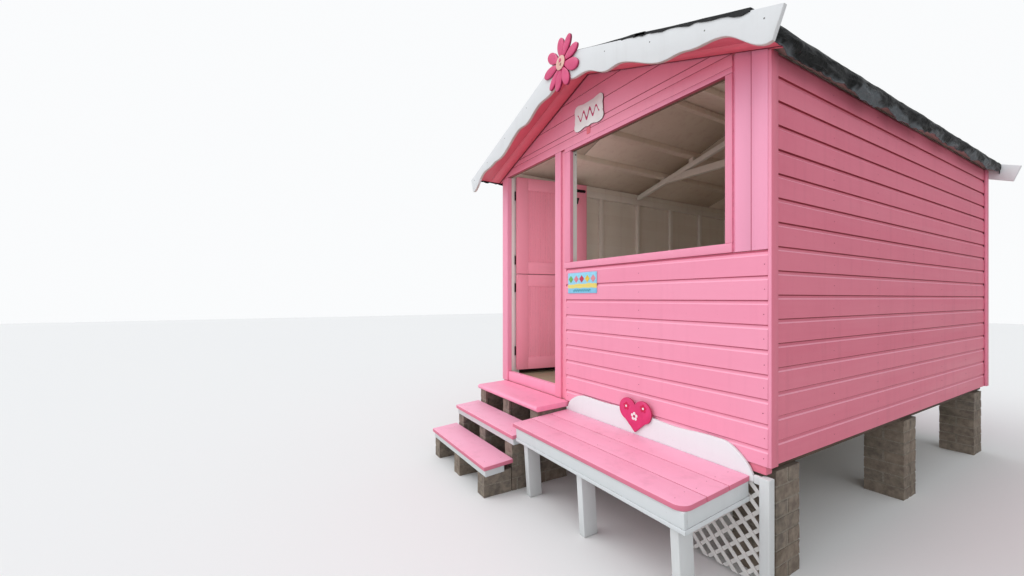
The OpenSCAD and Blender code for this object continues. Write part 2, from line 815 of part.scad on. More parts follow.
module bench_seat() from_front() color(pink) {
    plank = (bench_d - 2 * seat_gap) / 3;
    intersection() {
        bench_tip() for (i = [0:2]) {
            y0 = -bench_front + i * (plank + seat_gap);
            deep = i == 2 ? plank + 4 : plank;
            translate([0, 0, seat_z]) linear_extrude(seat_t) {
                translate([bench_x0, y0 + (i == 0 ? seat_corner_r : 0)])
                    square([bench_w, deep - (i == 0 ? seat_corner_r : 0)]);
                if (i == 0) {
                    translate([bench_x0, y0]) square([bench_w - seat_corner_r, plank]);
                    translate([bench_x1 - seat_corner_r, y0 + seat_corner_r])
                        circle(r = seat_corner_r, $fn = 48);
                }
            }
        }
        bar([bench_x0 - 10, -bench_front - 50, 0], [bench_x1 + 10, -backboard_t, bench_h + 50]);
    }
}

module bench_apron() from_front() color(white_paint) bench_tip() {
    x0 = bench_x0 + apron_left_in;
    x1 = bench_x1 - apron_right_in;
    y0 = -bench_front + apron_inset;
    y1 = -backboard_t - touch;
    out = apron_strip_out;
    zs = apron_z + apron_strip_h;
    bar([x0, y0, apron_z], [x1, y0 + apron_t, seat_z]);
    bar([x0 - out, y0 - out, apron_z], [x1 + out, y0 - touch, zs]);
    for (x = [x0, x1 - apron_t])
        bar([x, y0 + apron_t + touch, apron_z], [x + apron_t, y1, seat_z]);
    bar([x1 + touch, y0, apron_z], [x1 + out, y1, zs]);
    bar([x0 - out, y0, apron_z], [x0 - touch, y1, zs]);
}

module bench_frame() from_front() color(white_paint) {
    rail_y = -backboard_t - rail_t;
    x0 = bench_x0 + apron_left_in + apron_t + touch;
    x1 = bench_x1 - apron_right_in - apron_t - touch;
    first = bench_x0 + left_leg_in - leg_w / 2;
    span = bench_w - left_leg_in - right_leg_in;
    bench_tip() bar([x0, rail_y, seat_z - leg_rail_h], [x1, -backboard_t, seat_z]);
    for (k = [0, middle_leg_share, 1]) {
        x = first + k * span;
        rail_x = k == 1 ? x - rail_t : x + leg_w + touch;
        intersection() {
            bench_tip() bar([x, -leg_front, -80], [x + leg_w, -leg_front + leg_d, seat_z]);
            bar([x - 1, -bench_front - 50, 0], [x + leg_w + 1, 0, bench_h]);
        }
        bench_tip() bar([rail_x, -leg_front, seat_z - leg_rail_h],
            [rail_x + rail_t - touch, rail_y - touch, seat_z]);
    }
}

// Points along the backboard's top: a share of its length from its left end and a share of its height.
backboard_wave = [[0, 1], [0.15, 1], [0.28, 0.972], [0.45, 1.037], [0.68, 0.872], [0.85, 0.954],
    [1, 0.936]];

// The rounded rise of an end, for a share of its length; a low power makes it flatter.
function swell(t, power) = t >= 1 ? 1 : pow(1 - pow(1 - t, power), 1 / power);

module bench_backboard() from_front() color(white_paint) {
    x0 = step_x1 + 2;
    x1 = bench_x1 + backboard_out;
    long = x1 - x0;
    steps = 64;
    top = [for (i = [0:steps])
        let (t = 1 - i / steps, rise = swell(t / 0.14, 1.75) * swell((1 - t) / 0.103, 1.4))
        [x0 + t * long, bench_h + backboard_h * wave_at(backboard_wave, t) * rise]];
    along_y(-backboard_t, 0) polygon(concat([[x0, seat_z], [x1, seat_z]], top));
}

module bench_heart() from_front() color("crimson") {
    r = heart_w * 0.27;
    lobe = heart_w / 2 - r;
    tip = heart_w * 0.52;
    translate([bench_x0 + bench_w * 0.493, -backboard_t, bench_h + tip + 12]) rotate([90, 0, 0])
        linear_extrude(12) union() {
            for (s = [-1, 1]) translate([s * lobe, 0]) circle(r = r, $fn = 40);
            polygon([
                [-heart_w * 0.48, -heart_w * 0.1], [0, -tip], [heart_w * 0.48, -heart_w * 0.1], [0, r * 0.5]
            ]);
        }
}

// Lattice

module lattice_bars(pitch, shift, way, x0, x1, z0, z1) {
    intersection() {
        translate([x0, z0]) square([x1 - x0, z1 - z0]);
        for (x = [x0 - (z1 - z0) + shift : pitch : x1 + (z1 - z0)])
            translate([x, z0]) rotate([0, 0, way > 0 ? -45 : 45])
                translate([-bar_w / 2, -20]) square([bar_w, (z1 - z0) * 1.6]);
    }
}

module lattice_panel() from_front() color(white_paint) {
    x0 = post_x - lattice_w;
    z1 = post_h - rail_h;
    y = post_y + post_w / 2;
    along_y(y - bar_t, y) lattice_bars(front_bar_pitch, 0, -1, x0, post_x, 12, z1);
    along_y(y - 1, y + bar_t) lattice_bars(back_bar_pitch, back_bar_shift, 1, x0, post_x, 12, z1);
}

module lattice_post() from_front() color(white_paint) {
    bar([post_x, post_y, 0], [post_x + post_w, post_y + post_w, post_h]);
    bar([bench_x1 + backboard_out + touch, -rail_d, post_h - rail_h], [post_x - touch, -touch, post_h]);
}

// The door

module at_rest() {
    translate([hinge_x, hinge_y, 0]) rotate([0, 0, door_rest])
        translate([-hinge_x, -hinge_y, 0]) children();
}

module leaf(z0, z1) from_front() at_rest() color(pink) {
    back = leaf_y1;
    difference() {
        bar([leaf_x0, leaf_y0, z0], [leaf_x1, back, z1]);
        bar([leaf_x0 + leaf_frame_w, leaf_y0 - 1, z0 + leaf_frame_w],
            [leaf_x1 - leaf_frame_w, back - leaf_panel_t - 4, z1 - leaf_frame_w]);
        bar([leaf_x0 + leaf_frame_w, back - 4, z0 + leaf_frame_w],
            [leaf_x1 - leaf_frame_w, back + 1, z1 - leaf_frame_w]);
    }
}

module door_lower_leaf() leaf(leaf_bottom_z, leaf_split - leaf_gap / 2);

module door_upper_leaf() leaf(leaf_split + leaf_gap / 2, leaf_top_z);

module door_fittings() from_front() at_rest() color("darkslategray") {
    edge = leaf_x1 - leaf_lap - leaf_gap;
    far = leaf_y0;
    slide_z = leaf_top_z - 64;
    plate_t = 3;
    rod_r = 6;
    bar([edge - 130, far - plate_t, slide_z - 14], [edge, far, slide_z + 14]);
    translate([edge - 140, far - plate_t - rod_r + 1, slide_z]) rotate([0, 90, 0])
        cylinder(r = rod_r, h = 138, $fn = 20);
    for (k = [28, 108])
        bar([edge - k - 8, far - plate_t - 2 * rod_r - 3, slide_z - 10],
            [edge - k + 8, far - 1, slide_z + 10]);
    translate([edge - 78, far - plate_t - 1, slide_z]) rotate([90, 0, 0]) cylinder(r = 7, h = 24, $fn = 20);
    bar([edge - 120, far - plate_t, slide_z - 126], [edge - 86, far, slide_z - 82]);
    translate([edge - 103, 0, slide_z - 104]) {
        along_y(far - 14, far - 1) square([12, 12], center = true);
        along_y(far - 24, far - 13) polygon([[-20, 28], [20, 28], [6, -32], [-6, -32]]);
    }
    near = leaf_y1;
    x = leaf_x1 - leaf_frame_w / 2;
    bar([x - 18, near, leaf_split + 30], [x + 18, near + 4, leaf_split + 190]);
    translate([x, near + 10, leaf_split - 60]) cylinder(r = 7, h = 250, $fn = 20);
    for (k = [-50, 50, 105, 160])
        bar([x - 13, near + 3, leaf_split + k - 8], [x + 13, near + 21, leaf_split + k + 8]);
    bar([x - 18, near, leaf_split - 72], [x + 18, near + 4, leaf_split - 28]);
}

module hinge_knuckle(z0, len, bored) {
    difference() {
        translate([hinge_x, hinge_y, z0]) cylinder(r = knuckle_r, h = len, $fn = 32);
        if (bored)
            translate([hinge_x, hinge_y, z0 - 1])
                cylinder(r = pin_r + pin_clearance, h = len + 2, $fn = 32);
    }
}

module hinge_leaves() from_front() at_rest() color("dimgray") {
    third = hinge_len / 3;
    for (z = hinge_z) {
        hinge_knuckle(z + third + touch, third - 2 * touch, true);
        difference() {
            bar([hinge_x + 2, leaf_y1, z], [hinge_x + hinge_leaf_w, leaf_y1 + hinge_plate_t, z + hinge_len]);
            translate([hinge_x, hinge_y, z - 1])
                cylinder(r = knuckle_r + 0.4, h = third + touch + 1, $fn = 32);
            translate([hinge_x, hinge_y, z + 2 * third - touch])
                cylinder(r = knuckle_r + 0.4, h = third + touch + 1, $fn = 32);
            translate([hinge_x, hinge_y, z]) cylinder(r = knuckle_r - 1, h = hinge_len, $fn = 32);
        }
    }
}

module hinge_plates() from_front() color("dimgray") {
    third = hinge_len / 3;
    for (z = hinge_z) {
        hinge_knuckle(z, third, false);
        hinge_knuckle(z + 2 * third, third, false);
        translate([hinge_x, hinge_y, z]) cylinder(r = pin_r, h = hinge_len, $fn = 32);
        for (part = [z, z + 2 * third])
            bar([lining_x, hinge_y - 1, part], [lining_x + hinge_plate_t, hinge_y + 6, part + third]);
        bar([lining_x, hinge_y + 5, z], [lining_x + hinge_plate_t, hinge_y + hinge_arm_w, z + hinge_len]);
    }
}

hut_piers();
bearers();
floor();
side_walls();
back_wall();
front_lower_wall();
front_side_boards();
front_gable();
corner_trims();
side_wall_studs();
end_wall_studs();
front_posts();
recess_strip();
hinge_lining();
header();
door_sill();
window_frame();
gable_rafters();
purlins();
truss();
soffit();
roof_deck();
roof_felt();
bargeboard_front_left();
bargeboard_front_right();
bargeboards_back();
ridge_flower();
name_plaque();
window_plate();
landing();
treads();
tread_planks();
step_piers();
bench_seat();
bench_apron();
bench_frame();
bench_backboard();
bench_heart();
lattice_panel();
lattice_post();
door_lower_leaf();
door_upper_leaf();
door_fittings();
hinge_leaves();
hinge_plates();
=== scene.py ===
import json
import random
from math import atan2, copysign, cos, pi, radians, sin, sqrt, tan

import bmesh
import bpy
from mathutils import Matrix, Vector, noise


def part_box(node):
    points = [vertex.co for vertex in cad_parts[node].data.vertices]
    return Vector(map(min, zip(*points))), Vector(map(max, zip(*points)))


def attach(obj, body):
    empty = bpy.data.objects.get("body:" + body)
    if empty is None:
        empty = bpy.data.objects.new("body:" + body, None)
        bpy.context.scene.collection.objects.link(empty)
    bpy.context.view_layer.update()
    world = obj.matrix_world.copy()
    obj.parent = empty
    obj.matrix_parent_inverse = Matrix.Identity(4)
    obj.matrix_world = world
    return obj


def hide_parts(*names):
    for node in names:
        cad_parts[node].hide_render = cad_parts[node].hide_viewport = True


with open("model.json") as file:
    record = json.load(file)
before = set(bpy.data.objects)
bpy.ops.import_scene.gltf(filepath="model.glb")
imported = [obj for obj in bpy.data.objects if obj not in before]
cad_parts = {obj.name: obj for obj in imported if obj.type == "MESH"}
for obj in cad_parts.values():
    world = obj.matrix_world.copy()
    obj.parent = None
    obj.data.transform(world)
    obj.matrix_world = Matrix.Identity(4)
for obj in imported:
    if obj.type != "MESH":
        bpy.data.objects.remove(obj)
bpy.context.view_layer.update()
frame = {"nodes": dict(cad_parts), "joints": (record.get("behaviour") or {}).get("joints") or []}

# Measures of the hut in metres, from the frame


def box(node):
    """A node's lowest and highest corners, to a tenth of a millimetre."""
    return [[round(value, 4) for value in corner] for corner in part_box(node)]


(BOARDS_X0, FRONT_Y, BASE), (BOARDS_X1, boards_back, SILL) = box("front_lower_wall")
HALF_W, back_y, eaves_z = box("corner_trims")[1]
INNER_X, _, FLOOR_TOP = box("floor")[1]
CLAD = round(boards_back - FRONT_Y, 4)
DEPTH = round(back_y - FRONT_Y, 4)
WALL_X = box("side_walls")[1][0]
ROOM_X = box("truss")[1][0]
EAVE_X = box("roof_deck")[1][0]
DOOR_X1 = box("door_sill")[1][0]
HEADER_LOW, HEADER_TOP = (corner[2] for corner in box("header"))
# The window opens past the left side of its frame.
WINDOW_X0 = round(box("window_frame")[0][0] + 0.066, 4)
# The cover of a shiplap board, and of the lowest one at the front.
BOARD, FIRST_BOARD = 0.112, 0.087
PITCH = radians(20)
SLOPE, UP = tan(PITCH), 1 / cos(PITCH)
APEX = eaves_z + HALF_W * SLOPE
# Thicknesses, and how far the rafters, the deck and the felt start above the soffit's foot.
SOFFIT_T, RAFTER_T, DECK_T = 0.010, 0.044, 0.014
RAFTER_LIFT = SOFFIT_T * UP
DECK_LIFT = RAFTER_LIFT + RAFTER_T * UP
FELT_LIFT = DECK_LIFT + DECK_T * UP
HINGE = Vector(frame["joints"][0]["pos_m"])
DOOR_REST = -frame["joints"][0]["range_deg"][0]

chance = random.Random(7)


def roof_z(x):
    return APEX - abs(x) * SLOPE


def roof_normal(side):
    return Vector((side * sin(PITCH), 0, cos(PITCH)))


def spot(x, y, z):
    """A point of the hut, with y counted from the face of the front boards."""
    return Vector((x, FRONT_Y + y, z))


def moved(place, degrees=0, axis="Z"):
    """Turns about an axis through the origin, and then moves to a place."""
    return Matrix.Translation(place) @ Matrix.Rotation(radians(degrees), 4, axis)


def jitter(size):
    return chance.uniform(-size, size)


def show(name, data):
    shown = bpy.data.objects.new(name, data)
    bpy.context.scene.collection.objects.link(shown)
    return shown


# Camera

PICTURE_W, PICTURE_H = 1024.0, 576.0
FOCAL_PIXELS, HORIZON_PIXELS = 417.7, 298.4
SENSOR = 36.0

camera_data = bpy.data.cameras.new("photo_camera")
camera_data.sensor_fit = "HORIZONTAL"
camera_data.sensor_width = SENSOR
camera_data.lens = FOCAL_PIXELS / PICTURE_W * SENSOR
camera_data.shift_y = (HORIZON_PIXELS - PICTURE_H / 2) / PICTURE_W
camera = show("photo_camera", camera_data)
camera.location = spot(2.230, -1.947, 1.322)
camera.rotation_euler = (radians(90), 0, radians(59.28))
bpy.context.scene.camera = camera
bpy.context.scene.view_settings.view_transform = "Standard"


# Small tools for node trees

def paint(colour):
    """An sRGB colour as the linear values that a shader takes."""
    shares = [channel / 255 for channel in colour]
    return (*[v / 12.92 if v <= 0.04045 else ((v + 0.055) / 1.055) ** 2.4 for v in shares], 1.0)


def feed(node, **inputs):
    """Sets or links a node's inputs, by name with _ for a space, or by number as i0, i1."""
    for key, value in inputs.items():
        numbered = key[0] == "i" and key[1:].isdigit()
        socket = node.inputs[int(key[1:]) if numbered else key.replace("_", " ")]
        if isinstance(value, bpy.types.NodeSocket):
            node.id_data.links.new(value, socket)
        else:
            socket.default_value = value
    return node


def put(tree, kind, settings=(), **inputs):
    made = tree.nodes.new("ShaderNode" + kind)
    for key, value in settings:
        setattr(made, key, value)
    return feed(made, **inputs)


def maths(how, a, b, clamp=False):
    return put(a.id_data, "Math", [("operation", how), ("use_clamp", clamp)], i0=a, i1=b).outputs[0]


def plus(a, b):
    return maths("ADD", a, b)


def times(a, b, clamp=False):
    return maths("MULTIPLY", a, b, clamp)


def dot(a, b):
    return put(a.id_data, "VectorMath", [("operation", "DOT_PRODUCT")], i0=a, i1=b).outputs["Value"]


def span(value, low, high, out_low=0.0, out_high=1.0):
    return put(value.id_data, "MapRange", Value=value, From_Min=low, From_Max=high, To_Min=out_low,
               To_Max=out_high).outputs[0]


def blend(mask, a, b):
    return put(mask.id_data, "Mix", [("data_type", "RGBA")], i0=mask, i6=a, i7=b).outputs[2]


def layered(base, *coats):
    """A colour under coats, each a mask and the colour that it lays on."""
    now = paint(base)
    for mask, colour in coats:
        now = blend(mask, now, paint(colour))
    return now


def cloud(vector, scale, detail=3.0, rough=0.55, twist=0.0):
    return put(vector.id_data, "TexNoise", Vector=vector, Scale=scale, Detail=detail, Roughness=rough,
               Distortion=twist).outputs["Fac"]


def stretched(vector, x, y, z):
    return put(vector.id_data, "Mapping", Vector=vector, Scale=(x, y, z)).outputs[0]


def new_effect(name, gives, **settings):
    """A node group that takes a vector and settings, and gives masks."""
    tree = bpy.data.node_groups.new(name, "ShaderNodeTree")
    tree.interface.new_socket(name="Vector", in_out="INPUT", socket_type="NodeSocketVector")
    for label, value in settings.items():
        socket = tree.interface.new_socket(name=label, in_out="INPUT", socket_type="NodeSocketFloat")
        socket.default_value = value
    for label in gives:
        tree.interface.new_socket(name=label, in_out="OUTPUT", socket_type="NodeSocketFloat")
    return tree, tree.nodes.new("NodeGroupInput").outputs, tree.nodes.new("NodeGroupOutput")


def place(effect, vector, **settings):
    return put(vector.id_data, "Group", [("node_tree", effect)], Vector=vector, **settings).outputs


# Shared effects

# Grain of sawn and planed timber. The vector comes stretched along the grain.
GRAIN, take, give = new_effect("timber_grain", ("Height", "Tone", "Streaks"))
fine = cloud(take["Vector"], 9.0, 5.0, 0.65, 0.25)
bands = cloud(take["Vector"], 1.7, 2.0, 0.5, 0.6)
feed(give, Height=plus(times(fine, 0.6), times(bands, 0.4)), Tone=cloud(take["Vector"], 0.35, 3.0, 0.6, 0.2),
     Streaks=span(fine, 0.56, 0.74))

# Weather: broad faded patches, small specks and runs of dirt.
WEATHER, take, give = new_effect("weather", ("Patches", "Specks", "Runs"))
runs = cloud(stretched(take["Vector"], 14.0, 14.0, 1.1), 1.0, 4.0, 0.6)
feed(give, Patches=span(cloud(take["Vector"], 2.3, 4.0, 0.6), 0.32, 0.68),
     Specks=span(cloud(take["Vector"], 85.0, 2.0, 0.5), 0.70, 0.78), Runs=span(runs, 0.52, 0.76))

# Wear along edges: how far a rounded normal leans from the flat one, broken up by a cloud.
WORN, take, give = new_effect("worn_edges", ("Wear",), Radius=0.004, Amount=0.5)
soft = put(WORN, "Bevel", [("samples", 4)], Radius=take["Radius"]).outputs[0]
edge = span(dot(soft, put(WORN, "NewGeometry").outputs["Normal"]), 0.985, 0.86)
broken = span(cloud(take["Vector"], 26.0, 5.0, 0.7), 0.46, 0.60)
feed(give, Wear=times(times(edge, broken), take["Amount"], True))

# Grime that gathers in corners and joints, with painted shade: ambient occlusion darkens the corners, joints
# and recesses where shade falls.
GRIME_AND_SHADE, take, give = new_effect("corner_grime_and_shade", ("Grime",), Reach=0.02, Amount=0.5)
sky = put(GRIME_AND_SHADE, "AmbientOcclusion", [("samples", 4), ("only_local", False)], Distance=take["Reach"])
occluded_shade = span(sky.outputs["AO"], 0.75, 0.15)
broken = span(cloud(take["Vector"], 30.0, 4.0, 0.6), 0.30, 0.62)
feed(give, Grime=times(times(occluded_shade, broken), take["Amount"], True))


# Kinds of finish

finishes = {}
# How the grain is stretched, for timber that runs along each axis.
ALONG = {"X": (1.6, 34.0, 34.0), "Y": (34.0, 1.6, 34.0), "Z": (34.0, 34.0, 1.6)}


def new_finish(name):
    """A new material's shader and the coordinates of the piece that wears it."""
    finishes[name] = bpy.data.materials.new(name)
    finishes[name].use_nodes = True
    tree = finishes[name].node_tree
    tree.nodes.clear()
    shader = put(tree, "BsdfPrincipled")
    put(tree, "OutputMaterial", i0=shader.outputs[0])
    return shader, put(tree, "TexCoord").outputs["Object"]


def own_tone(vector):
    """The tone that each board or brick has of its own."""
    return put(vector.id_data, "Attribute", [("attribute_name", "tone")]).outputs["Fac"]


def cover(shader, colour, rough, height, strength, distance):
    """Gives a finish its colour, roughness and relief."""
    bump = put(shader.id_data, "Bump", Strength=strength, Distance=distance, Height=height)
    feed(shader, Base_Color=colour, Roughness=rough, Normal=bump.outputs[0])


def painted(name, along, colour, deep, bare=(176, 128, 118), fade=0.12, wear=0.35, edge=0.0035, grime=0.35,
            reach=0.03, dirt_and_shade=(150, 62, 78), rough=0.46, relief=0.25):
    """Brushed paint over softwood: grain that shows through, a tone of its own on each board, faded patches,
    worn edges, and grime with painted shade in the corners and joints."""
    shader, here = new_finish(name)
    grain = place(GRAIN, stretched(here, *ALONG[along]))
    weather = place(WEATHER, here)
    shade = plus(times(weather["Patches"], fade), times(grain["Tone"], fade * 1.3))
    shade = plus(shade, times(own_tone(here), 0.16))
    # The grime coat, in the dirt colour, also paints shade into the corners and joints by ambient occlusion.
    coats = [(maths("MAXIMUM", shade, 0.0), deep), (times(grain["Streaks"], fade * 0.9), deep),
             (times(weather["Specks"], 0.16), dirt_and_shade), (times(weather["Runs"], fade * 0.55), dirt_and_shade),
             (place(GRIME_AND_SHADE, here, Reach=reach, Amount=grime)["Grime"], dirt_and_shade),
             (place(WORN, here, Radius=edge, Amount=wear)["Wear"], bare)]
    gloss = span(grain["Tone"], 0.3, 0.7, rough - 0.06, rough + 0.10)
    cover(shader, layered(colour, *coats), gloss, grain["Height"], relief, 0.0012)
    feed(shader, Specular_IOR_Level=0.35)


def bare_timber(name, along, colour, deep):
    """Sawn softwood with no paint on it."""
    shader, here = new_finish(name)
    grain = place(GRAIN, stretched(here, *ALONG[along]))
    mixed = plus(times(grain["Height"], 0.8), times(own_tone(here), 0.2))
    # The darkest coat is grime with painted shade, laid by ambient occlusion in corners and joints.
    coats = [(span(mixed, 0.25, 0.6), deep), (times(place(WEATHER, here)["Patches"], 0.3), deep),
             (place(GRIME_AND_SHADE, here, Reach=0.04, Amount=0.5)["Grime"], (48, 38, 32))]
    gloss = span(grain["Height"], 0.3, 0.7, 0.7, 0.9)
    cover(shader, layered(colour, *coats), gloss, grain["Height"], 0.5, 0.0015)


def burnt_brick(name):
    shader, here = new_finish(name)
    grit = cloud(here, 95.0, 5.0, 0.7)
    lumps = cloud(here, 24.0, 4.0, 0.6)
    stain = cloud(here, 5.0, 4.0, 0.6)
    coats = [(span(own_tone(here), -1.0, 1.0), (106, 98, 92)), (span(lumps, 0.35, 0.7), (150, 138, 124)),
             (span(grit, 0.58, 0.74, 0.0, 0.6), (70, 62, 56)),
             (span(stain, 0.52, 0.75, 0.0, 0.55), (66, 66, 48))]
    cover(shader, layered((122, 106, 94), *coats), 0.92, plus(times(grit, 0.5), lumps), 0.7, 0.003)


def lime_mortar(name):
    shader, here = new_finish(name)
    grit = cloud(here, 160.0, 4.0, 0.7)
    patch = cloud(here, 9.0, 3.0, 0.6)
    coats = [(span(grit, 0.35, 0.7), (120, 112, 102)), (span(patch, 0.5, 0.75, 0.0, 0.6), (88, 84, 70))]
    cover(shader, layered((158, 150, 138), *coats), 0.95, grit, 0.8, 0.002)


def tarred_felt(name):
    """Mineral roofing felt: grey grit on the slopes, black with a sheen on its folds over the eaves, grey
    painted highlights on the ridges of those folds, and paler where that edge is torn, which is partly a
    painted highlight."""
    shader, here = new_finish(name)
    tall = put(here.id_data, "SeparateXYZ", i0=here).outputs["Z"]
    folded = span(tall, 2.520, 2.490)
    grit = cloud(here, 420.0, 3.0, 0.7)
    folds = cloud(stretched(here, 1.0, 1.0, 1.4), 7.0, 3.0, 0.55, 0.8)
    patch = cloud(here, 2.6, 4.0, 0.6)
    scuffs = cloud(stretched(here, 1.0, 0.3, 1.0), 15.0, 5.0, 0.7)
    slopes = layered((24, 25, 27), (span(grit, 0.3, 0.7), (60, 61, 62)),
                     (span(patch, 0.4, 0.7, 0.0, 0.5), (30, 31, 30)),
                     (span(scuffs, 0.56, 0.76, 0.0, 0.35), (84, 85, 84)))
    # Grey on the ridges of the folds is a painted highlight, and the paler torn edge is partly one.
    ridge_highlights = cloud(stretched(here, 1.0, 0.8, 1.6), 7.0, 3.0, 0.5, 1.0)
    along = cloud(stretched(here, 0.4, 1.0, 0.4), 4.5, 3.0, 0.6)
    torn = span(plus(tall, times(along, -0.20)), 2.330, 2.306)
    black = layered((4, 5, 6), (span(grit, 0.4, 0.7), (13, 14, 16)),
                    (span(ridge_highlights, 0.54, 0.78, 0.0, 0.6), (40, 43, 46)), (times(torn, 0.75), (104, 110, 115)))
    gloss = span(folded, 0.0, 1.0, 0.72, span(folds, 0.35, 0.7, 0.42, 0.24))
    height = plus(times(grit, 0.05), times(folds, span(folded, 0.0, 1.0, 0.12, 1.0)))
    cover(shader, blend(folded, slopes, black), gloss, height, 0.9, 0.030)
    feed(shader, Specular_IOR_Level=0.16)


def worn_metal(name, colour, rust=(112, 62, 38), amount=0.35, rough=0.42):
    shader, here = new_finish(name)
    pits = cloud(here, 240.0, 4.0, 0.65)
    patch = cloud(here, 34.0, 5.0, 0.65)
    coats = [(span(pits, 0.3, 0.7, 0.0, 0.5), [c * 0.6 for c in colour]),
             (times(span(patch, 0.60 - amount * 0.2, 0.70), amount), rust)]
    gloss = span(patch, 0.3, 0.7, rough - 0.08, rough + 0.2)
    cover(shader, layered(colour, *coats), gloss, pits, 0.25, 0.0006)
    feed(shader, Metallic=0.6)


def enamel(name, colour, deep, rough=0.3):
    """Thick enamel on the flower, the heart and the signs: slightly uneven, with dulled patches."""
    shader, here = new_finish(name)
    orange_peel = cloud(here, 60.0, 3.0, 0.5)
    patch = cloud(here, 11.0, 4.0, 0.6)
    coats = [(span(patch, 0.35, 0.72), deep),
             (place(WORN, here, Radius=0.003, Amount=0.35)["Wear"], [c * 0.55 for c in deep])]
    gloss = span(patch, 0.3, 0.7, rough, rough + 0.16)
    cover(shader, layered(colour, *coats), gloss, orange_peel, 0.15, 0.001)


# Finishes: paint, and its deeper tone

painted("pink_boards_front", "X", (250, 161, 189), (238, 128, 160), grime=0.8, reach=0.012)
# Deeper copies of the pink paint for the sides: painted shade for the sides that get less light.
painted("pink_boards_side_shaded", "Y", (237, 131, 154), (214, 98, 124), fade=0.16, grime=0.9, reach=0.014,
        dirt_and_shade=(120, 40, 52))
painted("pink_side_uprights_shaded", "Z", (238, 132, 156), (214, 98, 124), fade=0.16, grime=0.6)
# Painted shade for the shadow under each board's lip, and painted highlights for the foot of each scoop,
# which faces up.
painted("front_joint_shade", "X", (214, 104, 132), (186, 78, 106), wear=0.05)
painted("front_ledge_highlight", "X", (255, 178, 204), (250, 160, 188), wear=0.3)
painted("side_joint_shade", "Y", (178, 68, 82), (138, 46, 58), wear=0.05, fade=0.3)
painted("side_ledge_highlight", "Y", (255, 174, 196), (246, 150, 174), wear=0.3)
# Painted shade: the dark gap where the soffit meets the gable, and the darker faces of the gable's V joints
# and of the lintel's front underside.
painted("soffit_gap_shade", "X", (134, 48, 60), (92, 30, 40), wear=0.0, fade=0.5)
painted("gable_joints", "X", (192, 94, 112), (160, 68, 86), wear=0.0, fade=0.4)
painted("pink_landing", "X", (255, 168, 199), (250, 146, 178), bare=(206, 120, 128), relief=0.4, wear=0.5,
        grime=0.4, fade=0.2)
painted("pink_uprights", "Z", (250, 162, 190), (236, 126, 158), relief=0.2, grime=0.5)
painted("pink_recess", "Z", (252, 163, 187), (238, 130, 156), grime=0.5)
# A paler copy of the upright paint: painted light on the boards right of the window.
painted("pink_window_sides_lit", "Z", (255, 171, 202), (252, 156, 188), relief=0.2, grime=0.25, fade=0.06)
painted("pink_gable_boards", "X", (250, 158, 184), (232, 122, 150), grime=0.9, reach=0.02, dirt_and_shade=(126, 50, 56))
painted("pink_soffit", "X", (244, 124, 140), (220, 96, 112), grime=0.7, dirt_and_shade=(92, 34, 38))
painted("pink_seat", "X", (253, 187, 213), (244, 156, 184), bare=(214, 150, 150), relief=0.7, wear=0.5,
        grime=0.4, fade=0.26)
# Deeper pink on the sides of the seat and tread planks: painted shade, with worn arrises.
painted("pink_plank_edges_shaded", "X", (232, 132, 158), (208, 100, 128), bare=(170, 110, 104), wear=0.6)
painted("pink_door", "Z", (252, 159, 180), (242, 134, 156), grime=0.8, reach=0.012)
painted("white_bargeboards", "X", (228, 230, 233), (206, 206, 204), bare=(120, 104, 92), wear=0.9, edge=0.005,
        relief=0.15, dirt_and_shade=(120, 108, 96))
painted("worn_rims", "X", (230, 225, 220), (192, 182, 172), bare=(120, 100, 86), wear=0.4, fade=0.5,
        dirt_and_shade=(112, 98, 88))
painted("white_bench", "X", (222, 227, 230), (200, 204, 203), bare=(140, 126, 112), wear=0.6, relief=0.35,
        grime=0.6, reach=0.012, dirt_and_shade=(124, 118, 110))
painted("white_backboard", "X", (238, 241, 243), (226, 230, 232), bare=(170, 160, 156), wear=0.4, fade=0.08,
        relief=0.12, dirt_and_shade=(150, 142, 140))
painted("white_uprights", "Z", (226, 229, 231), (202, 204, 202), bare=(140, 126, 112), wear=0.6, fade=0.14,
        relief=0.35, dirt_and_shade=(124, 116, 106))
painted("white_laths", "Z", (232, 230, 228), (208, 204, 200), bare=(150, 138, 126), wear=0.4)
painted("lining_white", "Z", (246, 249, 244), (222, 226, 216), bare=(130, 120, 104))
painted("room_boards_side", "Y", (248, 241, 229), (230, 218, 202), fade=0.18, grime=0.5)
painted("room_boards_ends", "X", (248, 241, 229), (230, 218, 202), fade=0.18, grime=0.5)
painted("room_uprights", "Z", (250, 245, 236), (234, 225, 211), fade=0.16)
painted("room_roof", "Y", (246, 232, 217), (226, 209, 190), fade=0.28, relief=0.15)
# Near black paint on the foot of the left wall: painted shade under the door.
painted("wall_foot_shade", "Y", (52, 44, 36), (30, 26, 22), fade=0.4, wear=0.1)
painted("floor_boards", "Y", (176, 164, 140), (138, 124, 100), fade=0.4, relief=0.5, rough=0.6)
bare_timber("raw_deck", "X", (150, 124, 98), (104, 82, 62))
# Bare wood of the bearers; also painted shade on the back of the lintel's underside.
bare_timber("raw_bearer_and_shade", "Y", (138, 116, 98), (88, 72, 60))
bare_timber("raw_eave", "Y", (176, 160, 150), (136, 120, 110))
burnt_brick("pier_brick")
lime_mortar("pier_mortar")
tarred_felt("roof_felt_black")
worn_metal("black_iron", (34, 34, 36))
worn_metal("painted_nail", (206, 110, 134), rust=(120, 58, 56), amount=0.5, rough=0.6)
worn_metal("clout_zinc", (104, 104, 102), amount=0.3)
enamel("petal_magenta", (224, 74, 128), (206, 56, 110))
